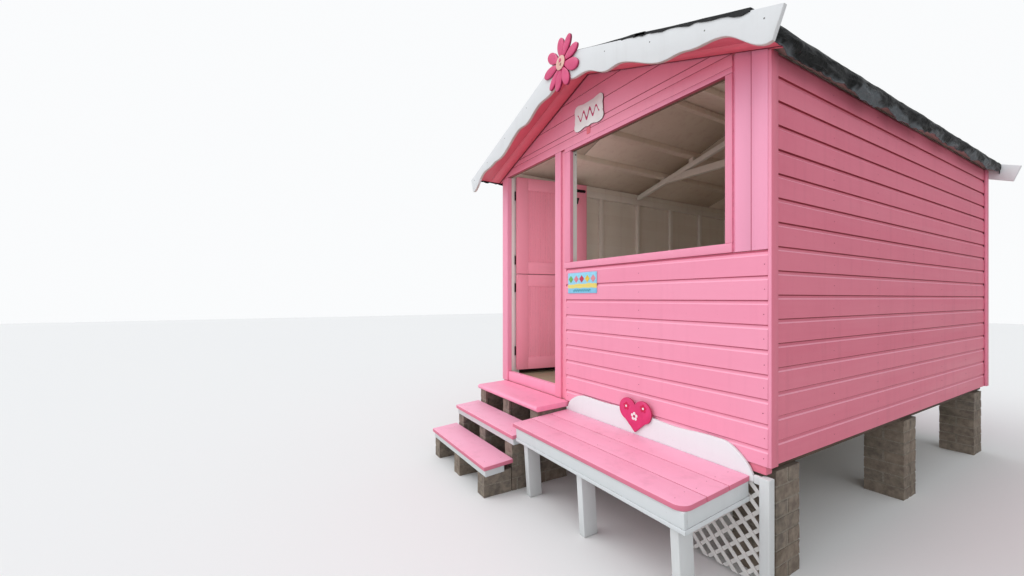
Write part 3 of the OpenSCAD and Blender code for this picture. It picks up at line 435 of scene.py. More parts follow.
# Darker magenta on the petals' sides, as painted shade; also the ring round the flower's middle.
enamel("petal_side_shade_and_ring", (168, 36, 84), (138, 24, 68))
enamel("worn_spot", (176, 124, 112), (140, 92, 84), rough=0.5)
enamel("disc_cream", (238, 196, 178), (228, 168, 158))
enamel("heart_pink", (230, 60, 124), (212, 44, 106))
enamel("flower_red", (214, 14, 84), (196, 8, 72))
# Darker pink on the heart's sides, as painted shade; also the middle of the white flower on it.
enamel("heart_side_shade_and_middle", (196, 34, 92), (168, 24, 78))
enamel("flower_white", (250, 246, 246), (236, 230, 232))
enamel("sign_white", (252, 250, 250), (240, 235, 235), rough=0.4)
# Dark brown on the plaque's sides: painted shade.
enamel("sign_edge_shade", (112, 78, 80), (82, 56, 60), rough=0.5)
enamel("sign_magenta", (206, 52, 110), (184, 40, 96), rough=0.4)


# Modelling by hand

def only(piece):
    bpy.ops.object.select_all(action="DESELECT")
    piece.select_set(True)
    bpy.context.view_layer.objects.active = piece


def start(primitive, name, **settings):
    """A primitive at its size and place, added with nothing else selected."""
    bpy.ops.object.select_all(action="DESELECT")
    primitive(**settings)
    piece = bpy.context.object
    piece.name = name
    bpy.ops.object.transform_apply(location=True, rotation=True, scale=True)
    return piece


def block(name, low, high):
    """A cube added at the size and place of a piece of timber."""
    low, high = Vector(low), Vector(high)
    return start(bpy.ops.mesh.primitive_cube_add, name, size=1, location=(low + high) / 2, scale=high - low)


def edit(piece, kind="FACE", every="DESELECT"):
    only(piece)
    bpy.ops.object.mode_set(mode="EDIT")
    bpy.ops.mesh.select_mode(type=kind)
    bpy.ops.mesh.select_all(action=every)


def done():
    bpy.ops.object.mode_set(mode="OBJECT")


def pick(piece, kind, test):
    """Selects the faces or points that pass the test, by their place or normal."""
    bpy.ops.mesh.select_all(action="DESELECT")
    shape = bmesh.from_edit_mesh(piece.data)
    for part in getattr(shape, kind):
        if test(part):
            part.select_set(True)
    bmesh.update_edit_mesh(piece.data)


def score(place, normal, **settings):
    """Bisects the whole piece along a plane; in edit mode."""
    bpy.ops.mesh.select_all(action="SELECT")
    bpy.ops.mesh.bisect(plane_co=place, plane_no=normal, **settings)


def saw(piece, *planes):
    """Keeps what lies behind each plane, given by a point and a normal, and closes the cut."""
    edit(piece)
    for place, normal in planes:
        score(place, normal, use_fill=True, clear_outer=True)
    done()


def push(value):
    bpy.ops.transform.translate(value=value)


def extrude(value):
    bpy.ops.mesh.extrude_region_move(TRANSFORM_OT_translate={"value": value})


def faces_front(f):
    return f.normal.y < -0.9


def faces_back(f):
    return f.normal.y > 0.9


def inset(piece, test, *steps):
    """Insets the faces that pass the test, in steps of how far in they go and how they then move."""
    edit(piece)
    pick(piece, "faces", test)
    for thickness, move in steps:
        bpy.ops.mesh.inset(thickness=thickness, depth=0)
        push(move)
    done()


def modify(piece, kind, **settings):
    """Adds a modifier and applies it."""
    only(piece)
    modifier = piece.modifiers.new(kind.lower(), kind)
    for key, value in settings.items():
        setattr(modifier, key, value)
    bpy.ops.object.modifier_apply(modifier=modifier.name)


def round_edges(piece, width, segments=2):
    modify(piece, "BEVEL", width=width, segments=segments, limit_method="ANGLE", angle_limit=radians(35),
           use_clamp_overlap=True)


def face_outwards(piece):
    edit(piece, every="SELECT")
    bpy.ops.mesh.normals_make_consistent(inside=False)
    done()


def copy_of(piece, matrix=Matrix()):
    twin = show(piece.name, piece.data.copy())
    twin.data.transform(matrix)
    return twin


def give_tone(piece, spread=1):
    """A tone of its own, which its paint or brick reads."""
    layer = piece.data.attributes.get("tone") or piece.data.attributes.new("tone", "FLOAT", "POINT")
    layer.data.foreach_set("value", [jitter(spread)] * len(layer.data))


def tone_by_part(piece):
    """Each loose part of the piece gets a tone of its own."""
    shape = bmesh.new()
    shape.from_mesh(piece.data)
    layer = shape.verts.layers.float.new("tone")
    seen = set()
    for first in shape.verts:
        if first in seen:
            continue
        value = jitter(1)
        heap = [first]
        while heap:
            point = heap.pop()
            if point not in seen:
                seen.add(point)
                point[layer] = value
                heap += [edge.other_vert(point) for edge in point.link_edges]
    shape.to_mesh(piece.data)
    shape.free()


def plank(low, high, edge, segments=1, spread=1):
    """A length of timber with eased arrises and a tone of its own."""
    board = block("board", low, high)
    round_edges(board, edge, segments)
    give_tone(board, spread)
    return board


def join(name, pieces):
    only(pieces[0])
    for piece in pieces:
        piece.select_set(True)
    if len(pieces) > 1:
        bpy.ops.object.join()
    pieces[0].name = name
    pieces[0].data.name = name
    return pieces[0]


def dress(piece, finish, slot, *nodes, body="hut"):
    """Gives a piece its finish and body, and hides the nodes that it replaces. The slot is not used."""
    piece.data.materials.clear()
    piece.data.materials.append(finishes[finish])
    only(piece)
    bpy.ops.object.shade_smooth_by_angle(angle=radians(32))
    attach(piece, body)
    if nodes:
        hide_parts(*nodes)
    return piece


def second_finish(piece, finish, test):
    """Gives the faces that pass the test a finish of their own."""
    piece.data.materials.append(finishes[finish])
    number = len(piece.data.materials) - 1
    for face in piece.data.polygons:
        if test(face):
            face.material_index = number


def vee(piece, place, normal, wide, inward, test):
    """A fine V along a plane: three cuts, and the middle line of the face pushed in."""
    place, normal = Vector(place), Vector(normal)
    edit(piece)
    for step in (-0.5, 0, 0.5):
        score(place + normal * wide * step, normal)
    pick(piece, "verts", lambda p: abs((p.co - place).dot(normal)) < 1e-5 and test(p.co))
    push(inward)
    done()


def softened(node, name, width):
    """A copy of a CAD node with its loose triangles merged and its arrises rounded."""
    piece = show(name, frame["nodes"][node].data.copy())
    edit(piece, "VERT", "SELECT")
    bpy.ops.mesh.remove_doubles(threshold=0.00002)
    bpy.ops.mesh.select_all(action="SELECT")
    bpy.ops.mesh.dissolve_limited(angle_limit=radians(0.6))
    done()
    round_edges(piece, width, 3 if width > 0.0028 else 2)
    tone_by_part(piece)
    return piece


# Walls

LIP, LIP_T = 0.0042, 0.0068
# The scoop along a board's top edge: distances below the edge, and depths from its foot to its top.
SCOOP = [(0.027, 0.0), (0.0215, 0.0046), (0.0145, 0.0068), (0.0095, 0.0077), (0.0045, 0.008), (0.0, 0.008)]


def shiplap_board(long, height):
    """One shiplap board along +X from the origin, face at y = 0, its back at y = CLAD."""
    board = block("board", (0, 0, 0), (long, CLAD, height))
    edit(board)
    for below, _ in SCOOP[:-1]:
        score((0, 0, height - below), (0, 0, 1))
    for below, deep in SCOOP[1:]:
        pick(board, "verts", lambda p: abs(p.co.z - height + below) < 1e-4 and p.co.y < 1e-4)
        push((0, deep, 0))
    score((0, LIP_T, 0), (0, 1, 0))
    pick(board, "faces", lambda f: f.normal.z < -0.9 and f.calc_center_median().y < LIP_T)
    extrude((0, 0, -LIP))
    done()
    return board


def shiplap_wall(name, long, first, rows, top):
    """Boards of one wall, standing on z = 0 and running along +X; each has a tone and place of its own."""
    boards = []
    whole = shiplap_board(long, BOARD)
    z = 0.0
    for row in range(rows):
        board = shiplap_board(long, first) if row == 0 and first < BOARD else copy_of(whole)
        board.data.transform(Matrix.Translation((0, chance.uniform(-0.0004, 0.0006), z)))
        give_tone(board)
        boards.append(board)
        z += first if row == 0 else BOARD
    bpy.data.objects.remove(whole)
    wall = join(name, boards)
    saw(wall, ((0, 0, 0), (0, 0, -1)), ((0, 0, top), (0, 0, 1)))
    return wall


def joint_shade_and_ledge_highlight(wall, depth, first, joint_shade, ledge_highlight):
    """The deep top of each scoop and the lip over it are painted darker, as painted shade under the lip, and
    the foot of the scoop is painted lighter, as a painted highlight where it faces up.
    """
    def below(f):
        return BOARD - (f.center.z - BASE - first) % BOARD
    second_finish(wall, joint_shade, lambda f: (0.0055 < depth(f) < 0.0095 and below(f) < 0.0096) or (
        f.normal.z < -0.9 and 0.0005 < depth(f) < 0.0062))
    second_finish(wall, ledge_highlight, lambda f: (
        0.0004 < depth(f) < 0.0045 and 0.0210 < below(f) < 0.0275 and f.normal.z > 0.2))


front_wall = shiplap_wall("front_boards", BOARDS_X1 - BOARDS_X0, FIRST_BOARD, 9, SILL - BASE)
front_wall.data.transform(moved(spot(BOARDS_X0, 0, BASE)))
dress(front_wall, "pink_boards_front", "pink_paint", "front_lower_wall")
second_finish(front_wall, "room_boards_ends", faces_back)
joint_shade_and_ledge_highlight(front_wall, lambda f: f.center.y - FRONT_Y, FIRST_BOARD, "front_joint_shade", "front_ledge_highlight")

right_wall = shiplap_wall("right_boards", DEPTH - 2 * CLAD, BOARD, 17, roof_z(WALL_X) + RAFTER_LIFT - BASE)
left_wall = copy_of(right_wall)
right_wall.data.transform(moved(spot(WALL_X, CLAD, BASE), 90))
left_wall.data.transform(moved(spot(-WALL_X, DEPTH - CLAD, BASE), -90))
# The left wall starts behind the front post.
saw(left_wall, (spot(0, 0.045, 0), (0, -1, 0)))
side_boards = join("side_boards", [right_wall, left_wall])
# The side boards wear the deeper, shaded copy of the pink paint: painted shade.
dress(side_boards, "pink_boards_side_shaded", "pink_paint", "side_walls")
second_finish(side_boards, "room_boards_side",
              lambda f: f.normal.x * f.center.x < 0 and abs(f.normal.x) > 0.9)
joint_shade_and_ledge_highlight(side_boards, lambda f: WALL_X - abs(f.center.x), 0.0, "side_joint_shade", "side_ledge_highlight")

back_boards = shiplap_wall("back_boards", 2 * WALL_X, BOARD, 21, APEX + DECK_LIFT - BASE)
back_boards.data.transform(moved(spot(WALL_X, DEPTH, BASE), 180))
saw(back_boards, *[(spot(0, 0, APEX + DECK_LIFT), roof_normal(side)) for side in (-1, 1)])
dress(back_boards, "pink_boards_front", "pink_paint", "back_wall")
second_finish(back_boards, "room_boards_ends", faces_front)
joint_shade_and_ledge_highlight(back_boards, lambda f: FRONT_Y + DEPTH - f.center.y, 0.0, "side_joint_shade", "front_ledge_highlight")

# The gable's boards lie flush, with a fine V at each joint.
gable_reach = (APEX - HEADER_TOP) / SLOPE + 0.01
gable_joints = [HEADER_TOP, 2.548, 2.660, 2.772, APEX + 0.01]
gable = join("gable_boards", [plank(spot(-gable_reach, 0, low), spot(gable_reach, CLAD, high), 0.0028)
                              for low, high in zip(gable_joints, gable_joints[1:])])
saw(gable, *[(spot(0, 0, APEX), roof_normal(side)) for side in (-1, 1)])
dress(gable, "pink_gable_boards", "pink_paint", "front_gable")
second_finish(gable, "room_boards_ends", faces_back)
# The faces of each V are painted darker, as painted shade in the joint.
second_finish(gable, "gable_joints",
              lambda f: abs(f.normal.z) > 0.3 and abs(f.normal.x) < 0.1 and f.normal.y < -0.3)


# Timbers that keep the shapes of their nodes

# How far in the white lining starts, and how deep the front part of the lintel's underside is, which is
# painted darker pink as painted shade.
REVEAL_D, LINTEL_D = 0.029, 0.022
# Where two boards meet at the right of the window.
SIDE_JOINT_X = 1.129
made = {}
for node, name, width, finish, slot in (
    ("corner_trims", "corner_boards", 0.0025, "pink_uprights", "pink_paint"),
    ("front_posts", "door_posts", 0.003, "pink_uprights", "pink_paint"),
    ("recess_strip", "recess_boards", 0.002, "pink_recess", "deep_pink_paint"),
    ("hinge_lining", "hinge_board", 0.002, "lining_white", "white_paint"),
    ("header", "front_header", 0.0025, "pink_gable_boards", "pink_paint"),
    ("front_side_boards", "window_side_boards", 0.002, "pink_window_sides_lit", "pink_paint"),
    ("door_sill", "sill_board", 0.003, "pink_landing", "pink_paint"),
    ("window_frame", "window_surround", 0.0025, "pink_uprights", "pink_paint"),
    ("side_wall_studs", "side_studs", 0.002, "room_uprights", "room_paint"),
    ("end_wall_studs", "end_studs", 0.002, "room_uprights", "room_paint"),
    ("gable_rafters", "end_rafters", 0.002, "room_roof", "pink_paint"),
    ("purlins", "roof_purlins", 0.002, "room_roof", "room_paint"),
    ("truss", "roof_truss", 0.0025, "room_uprights", "room_paint"),
    ("bearers", "floor_bearers", 0.003, "raw_bearer_and_shade", "bare_wood"),
    ("soffit", "soffit_boards", 0.001, "pink_soffit", "deep_pink_paint"),
    ("roof_deck", "deck_boards", 0.001, "raw_deck", "bare_wood"),
    ("bargeboard_front_left", "bargeboard_left", 0.003, "white_bargeboards", "white_paint"),
    ("bargeboard_front_right", "bargeboard_right", 0.003, "white_bargeboards", "white_paint"),
    ("bargeboards_back", "bargeboards_rear", 0.003, "white_bargeboards", "white_paint"),
    ("name_plaque", "plaque_board", 0.0012, "sign_white", "sign_plate"),
    ("landing", "landing_board", 0.003, "pink_landing", "pink_paint"),
    ("treads", "tread_boards", 0.004, "pink_seat", "pink_paint"),
    ("tread_planks", "plank_boards", 0.003, "white_bench", "white_paint"),
    ("bench_seat", "seat_planks", 0.003, "pink_seat", "pink_paint"),
    ("bench_apron", "apron_boards", 0.003, "white_bench", "white_paint"),
    ("bench_frame", "bench_legs", 0.003, "white_uprights", "white_paint"),
    ("bench_backboard", "back_board", 0.004, "white_backboard", "white_paint"),
    ("bench_heart", "heart_board", 0.003, "heart_pink", "deep_pink_paint"),
    ("lattice_post", "corner_post", 0.003, "white_uprights", "white_paint"),
):
    piece = softened(node, name, width)
    if node == "soffit":
        for y, wide, deep in ((-0.105, 0.004, 0.005), (-0.0055, 0.010, 0.009)):
            vee(piece, spot(0, y, 0), (0, 1, 0), wide, (0, 0, deep), lambda p: p.z - roof_z(p.x) < 0.002)
    if node == "roof_deck":
        for y in (0.62, 1.84, 3.06):
            vee(piece, spot(0, y, 0), (0, 1, 0), 0.005, (0, 0, 0.005),
                lambda p: p.z - roof_z(p.x) < DECK_LIFT + 0.002)
    if node == "front_side_boards":
        vee(piece, (SIDE_JOINT_X, 0, 0), (1, 0, 0), 0.004, (0, 0.004, 0), lambda p: p.y < FRONT_Y + 0.002)
    if node in ("window_frame", "header"):
        edit(piece)
        for y in (LINTEL_D, REVEAL_D):
            score(spot(0, y, 0), (0, 1, 0))
        done()
    made[node] = dress(piece, finish, slot, node)

over_window = ("window_frame", "header")
for nodes, finish, test in (
    (("bargeboard_front_left", "bargeboard_front_right", "bargeboards_back"), "worn_rims",
     lambda f: f.normal.z < -0.75),
    # The sides of the treads and seat planks are painted in the deeper, shaded pink.
    (("treads", "bench_seat"), "pink_plank_edges_shaded", lambda f: f.normal.z < 0.55),
    (("front_posts", "window_frame", "header", "front_side_boards"), "room_uprights", faces_back),
    # The sides of the corner trims are painted in the shaded copy of the pink: painted shade.
    (["corner_trims"], "pink_side_uprights_shaded", lambda f: abs(f.normal.x) > 0.6),
    # The gap along the gable is painted dark, as painted shade.
    (["soffit"], "soffit_gap_shade", lambda f: -0.0103 < f.center.y - FRONT_Y < -0.0002 and f.normal.z < -0.05),
    # The faces of the V between the two boards are painted darker, as painted shade in the joint.
    (["front_side_boards"], "front_joint_shade",
     lambda f: abs(f.center.x - SIDE_JOINT_X) < 0.0021 and abs(f.normal.x) > 0.2),
    (["window_frame"], "lining_white",
     lambda f: f.normal.x > 0.9 and abs(f.center.x - WINDOW_X0) < 0.004 and f.center.y > FRONT_Y + REVEAL_D),
    (["end_wall_studs"], "lining_white",
     lambda f: -0.047 < f.center.x - WINDOW_X0 < 0.001 and f.center.y < FRONT_Y + 0.07 and f.center.z > SILL),
    # The lintel's underside is painted shade: darker pink at the front, and dark bare wood further in, for
    # the shade of the room behind it.
    (over_window, "raw_bearer_and_shade",
     lambda f: f.normal.z < -0.9 and f.center.y > FRONT_Y + LINTEL_D and f.center.z > HEADER_LOW - 0.06),
    (over_window, "gable_joints",
     lambda f: f.normal.z < -0.5 and f.center.y < FRONT_Y + LINTEL_D and f.center.z > HEADER_LOW - 0.06),
    (["roof_deck"], "room_roof", lambda f: f.normal.z < -0.5),
    # The foot of the left wall's studs is painted near black, as painted shade.
    (["side_wall_studs"], "wall_foot_shade", lambda f: f.center.z < FLOOR_TOP + 0.052 and f.center.x < 0),
    (["purlins"], "raw_eave", lambda f: abs(f.center.x) > WALL_X - 0.002),
    # The bearers' outer faces are painted in the shaded side copy of the pink: painted shade.
    (["bearers"], "pink_boards_side_shaded",
     lambda f: f.normal.z > -0.5 and (abs(f.center.x) > WALL_X - 0.03 or f.center.y < FRONT_Y + 0.03)),
    # The sides of the plaque and of the heart are painted darker, as painted shade.
    (["name_plaque"], "sign_edge_shade", lambda f: f.normal.y > -0.7),
    (["bench_heart"], "heart_side_shade_and_middle", lambda f: f.normal.y > -0.7),
):
    for node in nodes:
        second_finish(made[node], finish, test)


# Battens over the side walls, inside the eaves

BATTEN_X0, BATTEN_X1, BATTEN_IN = 1.159, 1.186, 0.052
battens = []
for side in (-1, 1):
    low_z = roof_z(INNER_X) + RAFTER_LIFT + 0.0006
    left, right = sorted((side * BATTEN_X0, side * BATTEN_X1))
    batten = block("batten", spot(left, BATTEN_IN, low_z), spot(right, DEPTH - BATTEN_IN, low_z + 0.08))
    saw(batten, ((0, 0, APEX + DECK_LIFT - 0.005), roof_normal(side)))
    round_edges(batten, 0.0015, 1)
    give_tone(batten)
    battens.append(batten)
dress(join("eave_battens", battens), "room_boards_side", "room_paint")


# Door, modelled shut and then swung to where it rests

LEAF_X0, LEAF_X1, LEAF_Y0, LEAF_Y1, LEAF_FRAME = -1.139, -0.380, 0.051, 0.086, 0.112
LEAF_BOARDS = 5
SWING = moved(HINGE, DOOR_REST) @ Matrix.Translation(-HINGE)


def door_leaf(name, node):
    """Stiles and rails round a panel of grooved boards, a little behind their face."""
    z0, z1 = (corner[2] for corner in box(node))
    xa, xb = LEAF_X0 + LEAF_FRAME, LEAF_X1 - LEAF_FRAME
    parts = [plank(spot(x0, LEAF_Y0, low), spot(x1, LEAF_Y1, high), 0.0018, 2, 0.5) for x0, x1, low, high in (
        (LEAF_X0, xa, z0, z1), (xb, LEAF_X1, z0, z1),
        (xa + 0.0002, xb - 0.0002, z0, z0 + LEAF_FRAME), (xa + 0.0002, xb - 0.0002, z1 - LEAF_FRAME, z1))]
    wide = (xb - xa) / LEAF_BOARDS
    one = block("board", spot(xa, LEAF_Y0 + 0.007, z0 + LEAF_FRAME - 0.004),
                spot(xa + wide, LEAF_Y1 - 0.004, z1 - LEAF_FRAME + 0.004))
    round_edges(one, 0.0022, 1)
    for k in (1, 2, 3):
        vee(one, (xa + wide * k / 4, 0, 0), (1, 0, 0), 0.0036, (0, 0.0022, 0),
            lambda p: p.y < FRONT_Y + LEAF_Y0 + 0.008)
    for k in range(LEAF_BOARDS):
        parts.append(copy_of(one, Matrix.Translation((k * wide, 0, 0))))
        give_tone(parts[-1])
    bpy.data.objects.remove(one)
    leaf = join(name, parts)
    leaf.data.transform(SWING)
    dress(leaf, "pink_door", "pink_paint", node, body="door")


door_leaf("lower_leaf", "door_lower_leaf")
door_leaf("upper_leaf", "door_upper_leaf")
for node, name, body in (("door_fittings", "door_bolts", "door"), ("hinge_leaves", "hinge_flaps", "door"),
                         ("hinge_plates", "hinge_arms", "hut")):
    dress(softened(node, name, 0.0006), "black_iron", "black_metal", node, body=body)


# Nails

FALL, LANDING_FALL = radians(4), radians(2)
# The front edge and the height of each tread and of the landing there, and their thicknesses.
LOW_TREAD, MID_TREAD, LANDING = (-0.710, 0.216), (-0.495, 0.388), (-0.0005, 0.560)
TREAD_T, LANDING_T = 0.074, 0.038
SEAT_BACK, SEAT_TOP = -0.018, 0.504
# Height of a nail above the foot of its board.
NAIL_RISE = 0.042


def nail_head(radius, proud):
    """A low round head that looks along +Z, with its edge turned down."""
    head = start(bpy.ops.mesh.primitive_cylinder_add, "nail", vertices=8, radius=radius, depth=0.003,
                 location=(0, 0, proud - 0.0015))
    inset(head, lambda f: f.normal.z > 0.9, (radius * 0.3, (0, 0, proud * 0.4)))
    return head


def nail_rows(name, finish, radius, proud, rows):
    """Copies of one head at each place, turned to the way that its timber faces."""
    one = nail_head(radius, proud)
    heads = []
    for at, normal in rows:
        turn = Vector((0, 0, 1)).rotation_difference(Vector(normal)).to_matrix().to_4x4()
        heads.append(copy_of(one, Matrix.Translation(at) @ turn))
    bpy.data.objects.remove(one)
    dress(join(name, heads), finish, "black_metal")


def wall_nail(x, y, z, normal):
    """A nail a little off its place along and up its board."""
    along, lift = jitter(0.004), jitter(0.006)
    return spot(x + along * abs(normal[1]), y + along * abs(normal[0]), z + lift), normal


wall_nails = []
for row in range(9):
    z = BASE + (0.040 if row == 0 else FIRST_BOARD + (row - 1) * BOARD + NAIL_RISE)
    for x in (BOARDS_X0 + 0.020, 0.452, 1.186):
        wall_nails.append(wall_nail(x, 0, z, (0, -1, 0)))
for row in range(17):
    for y in (0.052, 0.074, 0.64, 1.20, 1.78, 2.34, 2.92, 3.44):
        for side in (-1, 1):
            if side > 0 or y > 0.1:
                wall_nails.append(wall_nail(side * WALL_X, y, BASE + row * BOARD + NAIL_RISE, (side, 0, 0)))
for row in range(21):
    z = BASE + row * BOARD + NAIL_RISE
    for x in (-1.17, -0.6, 0.0, 0.6, 1.17):
        if roof_z(x) > z + 0.02:
            wall_nails.append(wall_nail(x, DEPTH, z, (0, 1, 0)))
nail_rows("wall_nails", "painted_nail", 0.0026, 0.0006, wall_nails)
nail_rows("reveal_screw", "black_iron", 0.0055, 0.002, [(spot(WINDOW_X0, 0.052, 2.392), (1, 0, 0))])

seat_nails = []
up_the_fall = (0, -sin(FALL), cos(FALL))
for x in (-0.175, 0.430, 1.055):
    for y in (-0.445, -0.375, -0.305, -0.215, -0.145, -0.055):
        z = SEAT_TOP + (y - SEAT_BACK) * tan(FALL)
        seat_nails.append((spot(x + jitter(0.01), y + jitter(0.006), z), up_the_fall))
for front, top in (MID_TREAD, LOW_TREAD):
    for x in (-1.09, -0.69, -0.29):
        for y in (0.045, 0.165):
            seat_nails.append((spot(x + jitter(0.008), front + y, top + y * tan(FALL)), up_the_fall))
nail_rows("seat_nails", "painted_nail", 0.0024, 0.0004, seat_nails)

BARGE_Y = -0.247
trim_nails = [(spot(side * x, BARGE_Y, roof_z(x) + FELT_LIFT - 0.045), (0, -1, 0))
              for side in (-1, 1) for x in (0.10, 0.42, 0.75, 1.06, 1.32)]
nail_rows("barge_nails", "clout_zinc", 0.0035, 0.0006, trim_nails)


# Floor boards

FLOOR_BOARDS, FLOOR_T, FLOOR_GAP = 19, 0.018, 0.002
floor_planks = []
edges = [-INNER_X + i * (2 * INNER_X) / FLOOR_BOARDS for i in range(FLOOR_BOARDS + 1)]
for x0, x1 in zip(edges, edges[1:]):
    front = 0.055 if x1 < DOOR_X1 + 0.02 else 0.0455
    floor_planks.append(plank(spot(x0 + FLOOR_GAP / 2, front, FLOOR_TOP - FLOOR_T),
                              spot(x1 - FLOOR_GAP / 2, DEPTH - CLAD, FLOOR_TOP), 0.0015))
dress(join("floor_planks", floor_planks), "floor_boards", "room_paint", "floor")


# Brick piers

BRICK_LONG, COURSE, BED = 0.215, 0.075, 0.009
STEP_PIER_W, PIER_TOP = 0.102, 0.520

# One brick of unit size, whose points are then moved a little for chipped arrises.
unit_brick = block("brick", (-0.5, -0.5, -0.5), (0.5, 0.5, 0.5))
edit(unit_brick, every="SELECT")
bpy.ops.mesh.subdivide(number_cuts=2)
done()


def lay_brick(low, high):
    laid = copy_of(unit_brick, Matrix.Translation((low + high) / 2) @ Matrix.Diagonal((*(high - low), 1)))
    for point in laid.data.vertices:
        point.co += Vector([jitter(0.0016) for _ in range(3)])
    give_tone(laid)
    return laid


def brick_stack(x0, x1, y0, y1, top, foot=0.0):
    """A pier of one or two bricks a course, with the bed and head joints left for the mortar."""
    bricks = []
    courses = max(1, round((top - foot) / COURSE))
    tall = (top - foot) / courses
    wide, deep = x1 - x0, y1 - y0
    square = wide > 0.15 and deep > 0.15
    for course in range(courses):
        low = foot + course * tall + (BED / 2 if course else 0.0)
        high = foot + (course + 1) * tall - (BED / 2 if course < courses - 1 else 0.0)
        if square and course % 2:
            cells = [(x0, x0 + wide / 2 - BED / 2, y0, y1), (x0 + wide / 2 + BED / 2, x1, y0, y1)]
        elif square or deep > 0.23:
            part = BRICK_LONG if course % 2 else max(deep - BRICK_LONG - BED, 0.04)
            if square:
                part = (deep - BED) / 2
            cells = [(x0, x1, y0, y0 + part), (x0, x1, y0 + part + BED, y1)]
        else:
            cells = [(x0, x1, y0, y1)]
        for a, b, c, d in cells:
            bricks.append(lay_brick(spot(a + 0.002, c + 0.002, low), spot(b - 0.002, d - 0.002, high)))
    return bricks


def mortar_core(x0, x1, y0, y1, top, foot=0.0):
    return block("mortar", spot(x0 + 0.004, y0 + 0.004, foot), spot(x1 - 0.004, y1 - 0.004, top - 0.002))


step_bricks, step_mortar = [], []
for x0 in (-1.148, -0.7435, -0.339):
    x1 = x0 + STEP_PIER_W
    # Front and back of each stack, what it carries with its thickness and fall, and where it starts.
    for y0, y1, (ref, top), thick, fall, foot in (
        (-0.696, -0.4835, LOW_TREAD, TREAD_T, FALL, 0.0),
        (-0.481, -0.2405, MID_TREAD, TREAD_T, FALL, 0.0),
        (-0.240, -0.004, LANDING, LANDING_T, LANDING_FALL, 0.0),
        (-0.268, -0.242, LANDING, LANDING_T, LANDING_FALL, 0.336),
    ):
        under = top - thick / cos(fall)
        high = under + (y1 - ref) * tan(fall)
        stack = join("stack", brick_stack(x0, x1, y0, y1, high, foot))
        core = mortar_core(x0, x1, y0, y1, high, foot)
        for piece in (stack, core):
            saw(piece, (spot(0, ref, under), (0, -sin(fall), cos(fall))))
        step_bricks.append(stack)
        step_mortar.append(core)
dress(join("step_bricks", step_bricks), "pier_brick", "masonry", "step_piers")
dress(join("step_mortar", step_mortar), "pier_mortar", "masonry")

hut_bricks, hut_mortar = [], []
pier_x = ROOM_X - 0.068
for x in (-pier_x, 0, pier_x):
    for y in (0.090, (DEPTH - BRICK_LONG) / 2, DEPTH - 0.305):
        pier = (x - BRICK_LONG / 2, x + BRICK_LONG / 2, y, y + BRICK_LONG, PIER_TOP)
        hut_bricks += brick_stack(*pier)
        hut_mortar.append(mortar_core(*pier))
dress(join("hut_bricks", hut_bricks), "pier_brick", "masonry", "hut_piers")
dress(join("hut_mortar", hut_mortar), "pier_mortar", "masonry")
bpy.data.objects.remove(unit_brick)


# Lattice

(lattice_x0, lattice_front, lattice_z0), (lattice_x1, lattice_back, lattice_z1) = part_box("lattice_panel")
LATTICE_Y = (lattice_front + lattice_back) / 2 - FRONT_Y
LATH_T = 0.006


def laths(pitch, shift, way, y0, half):
    """One layer of laths at 45 degrees, trimmed to the panel."""
    tall = lattice_z1 - lattice_z0
    one = block("lath", spot(-half, y0, -0.02), spot(half, y0 + LATH_T, tall * 1.6))
    round_edges(one, 0.0008, 1)
    one.data.transform(Matrix.Rotation(radians(45 * way), 4, "Y"))
    rows = []
    x = lattice_x0 - tall + shift
    while x < lattice_x1 + tall:
        rows.append(copy_of(one, Matrix.Translation((x, 0, lattice_z0))))
        give_tone(rows[-1])
        x += pitch
    bpy.data.objects.remove(one)
    net = join("laths", rows)
    saw(net, ((lattice_x0, 0, 0), (-1, 0, 0)), ((lattice_x1, 0, 0), (1, 0, 0)),
        ((0, 0, lattice_z0), (0, 0, -1)), ((0, 0, lattice_z1), (0, 0, 1)))
    return net


front_laths = laths(0.076, 0, -1, LATTICE_Y - LATH_T, 0.0098)
back_laths = laths(0.085, 0.024, 1, LATTICE_Y, 0.0088)
dress(join("lattice_laths", [front_laths, back_laths]), "white_laths", "white_paint", "lattice_panel")


# Flower on the ridge

FLOWER_R, PETAL_T, PETAL_SWELL, PETAL_ROOT = 0.184, 0.0125, 0.66, 0.16
FLOWER = spot(FLOWER_R * 0.14, BARGE_Y, APEX + FELT_LIFT - FLOWER_R * 0.43)
# The way each petal points, and its length and width as shares of the flower's radius.
PETALS = [(94, 0.93, 0.37), (60, 0.95, 0.33), (16, 0.93, 0.37), (-27, 1.02, 0.42), (-68, 0.96, 0.38),
          (-105, 0.95, 0.37), (-135, 0.98, 0.31), (-177, 1.05, 0.38), (142, 1.02, 0.39)]


def petal(long, wide):
    """A petal along +X in the plane z = 0, cut from board and domed on its face."""
    shape = start(bpy.ops.mesh.primitive_circle_add, "petal", vertices=40, radius=1, fill_type="NGON")
    for point in shape.data.vertices:
        turn = atan2(point.co.y, point.co.x)
        t = (1 + cos(turn)) / 2
        if t < PETAL_SWELL:
            swell = PETAL_ROOT + (1 - PETAL_ROOT) * sin(pi / 2 * t / PETAL_SWELL) ** 2.2
        else:
            swell = sqrt(max(0.0, 1 - ((t - PETAL_SWELL) / (1 - PETAL_SWELL)) ** 2))
        way = 0 if abs(sin(turn)) < 1e-4 else copysign(1, sin(turn))
        point.co = Vector((t * long, way * wide / 2 * swell, 0))
    edit(shape, every="SELECT")
    extrude((0, 0, PETAL_T))
    for lift, size in ((0.0016, 0.95), (0.0014, 0.90), (0.0012, 0.78), (0.0008, 0.5)):
        extrude((0, 0, lift))
        bpy.ops.transform.resize(value=(size * 0.5 + 0.5, size, 1), center_override=(long * 0.58, 0, 0))
    done()
    face_outwards(shape)
    return shape


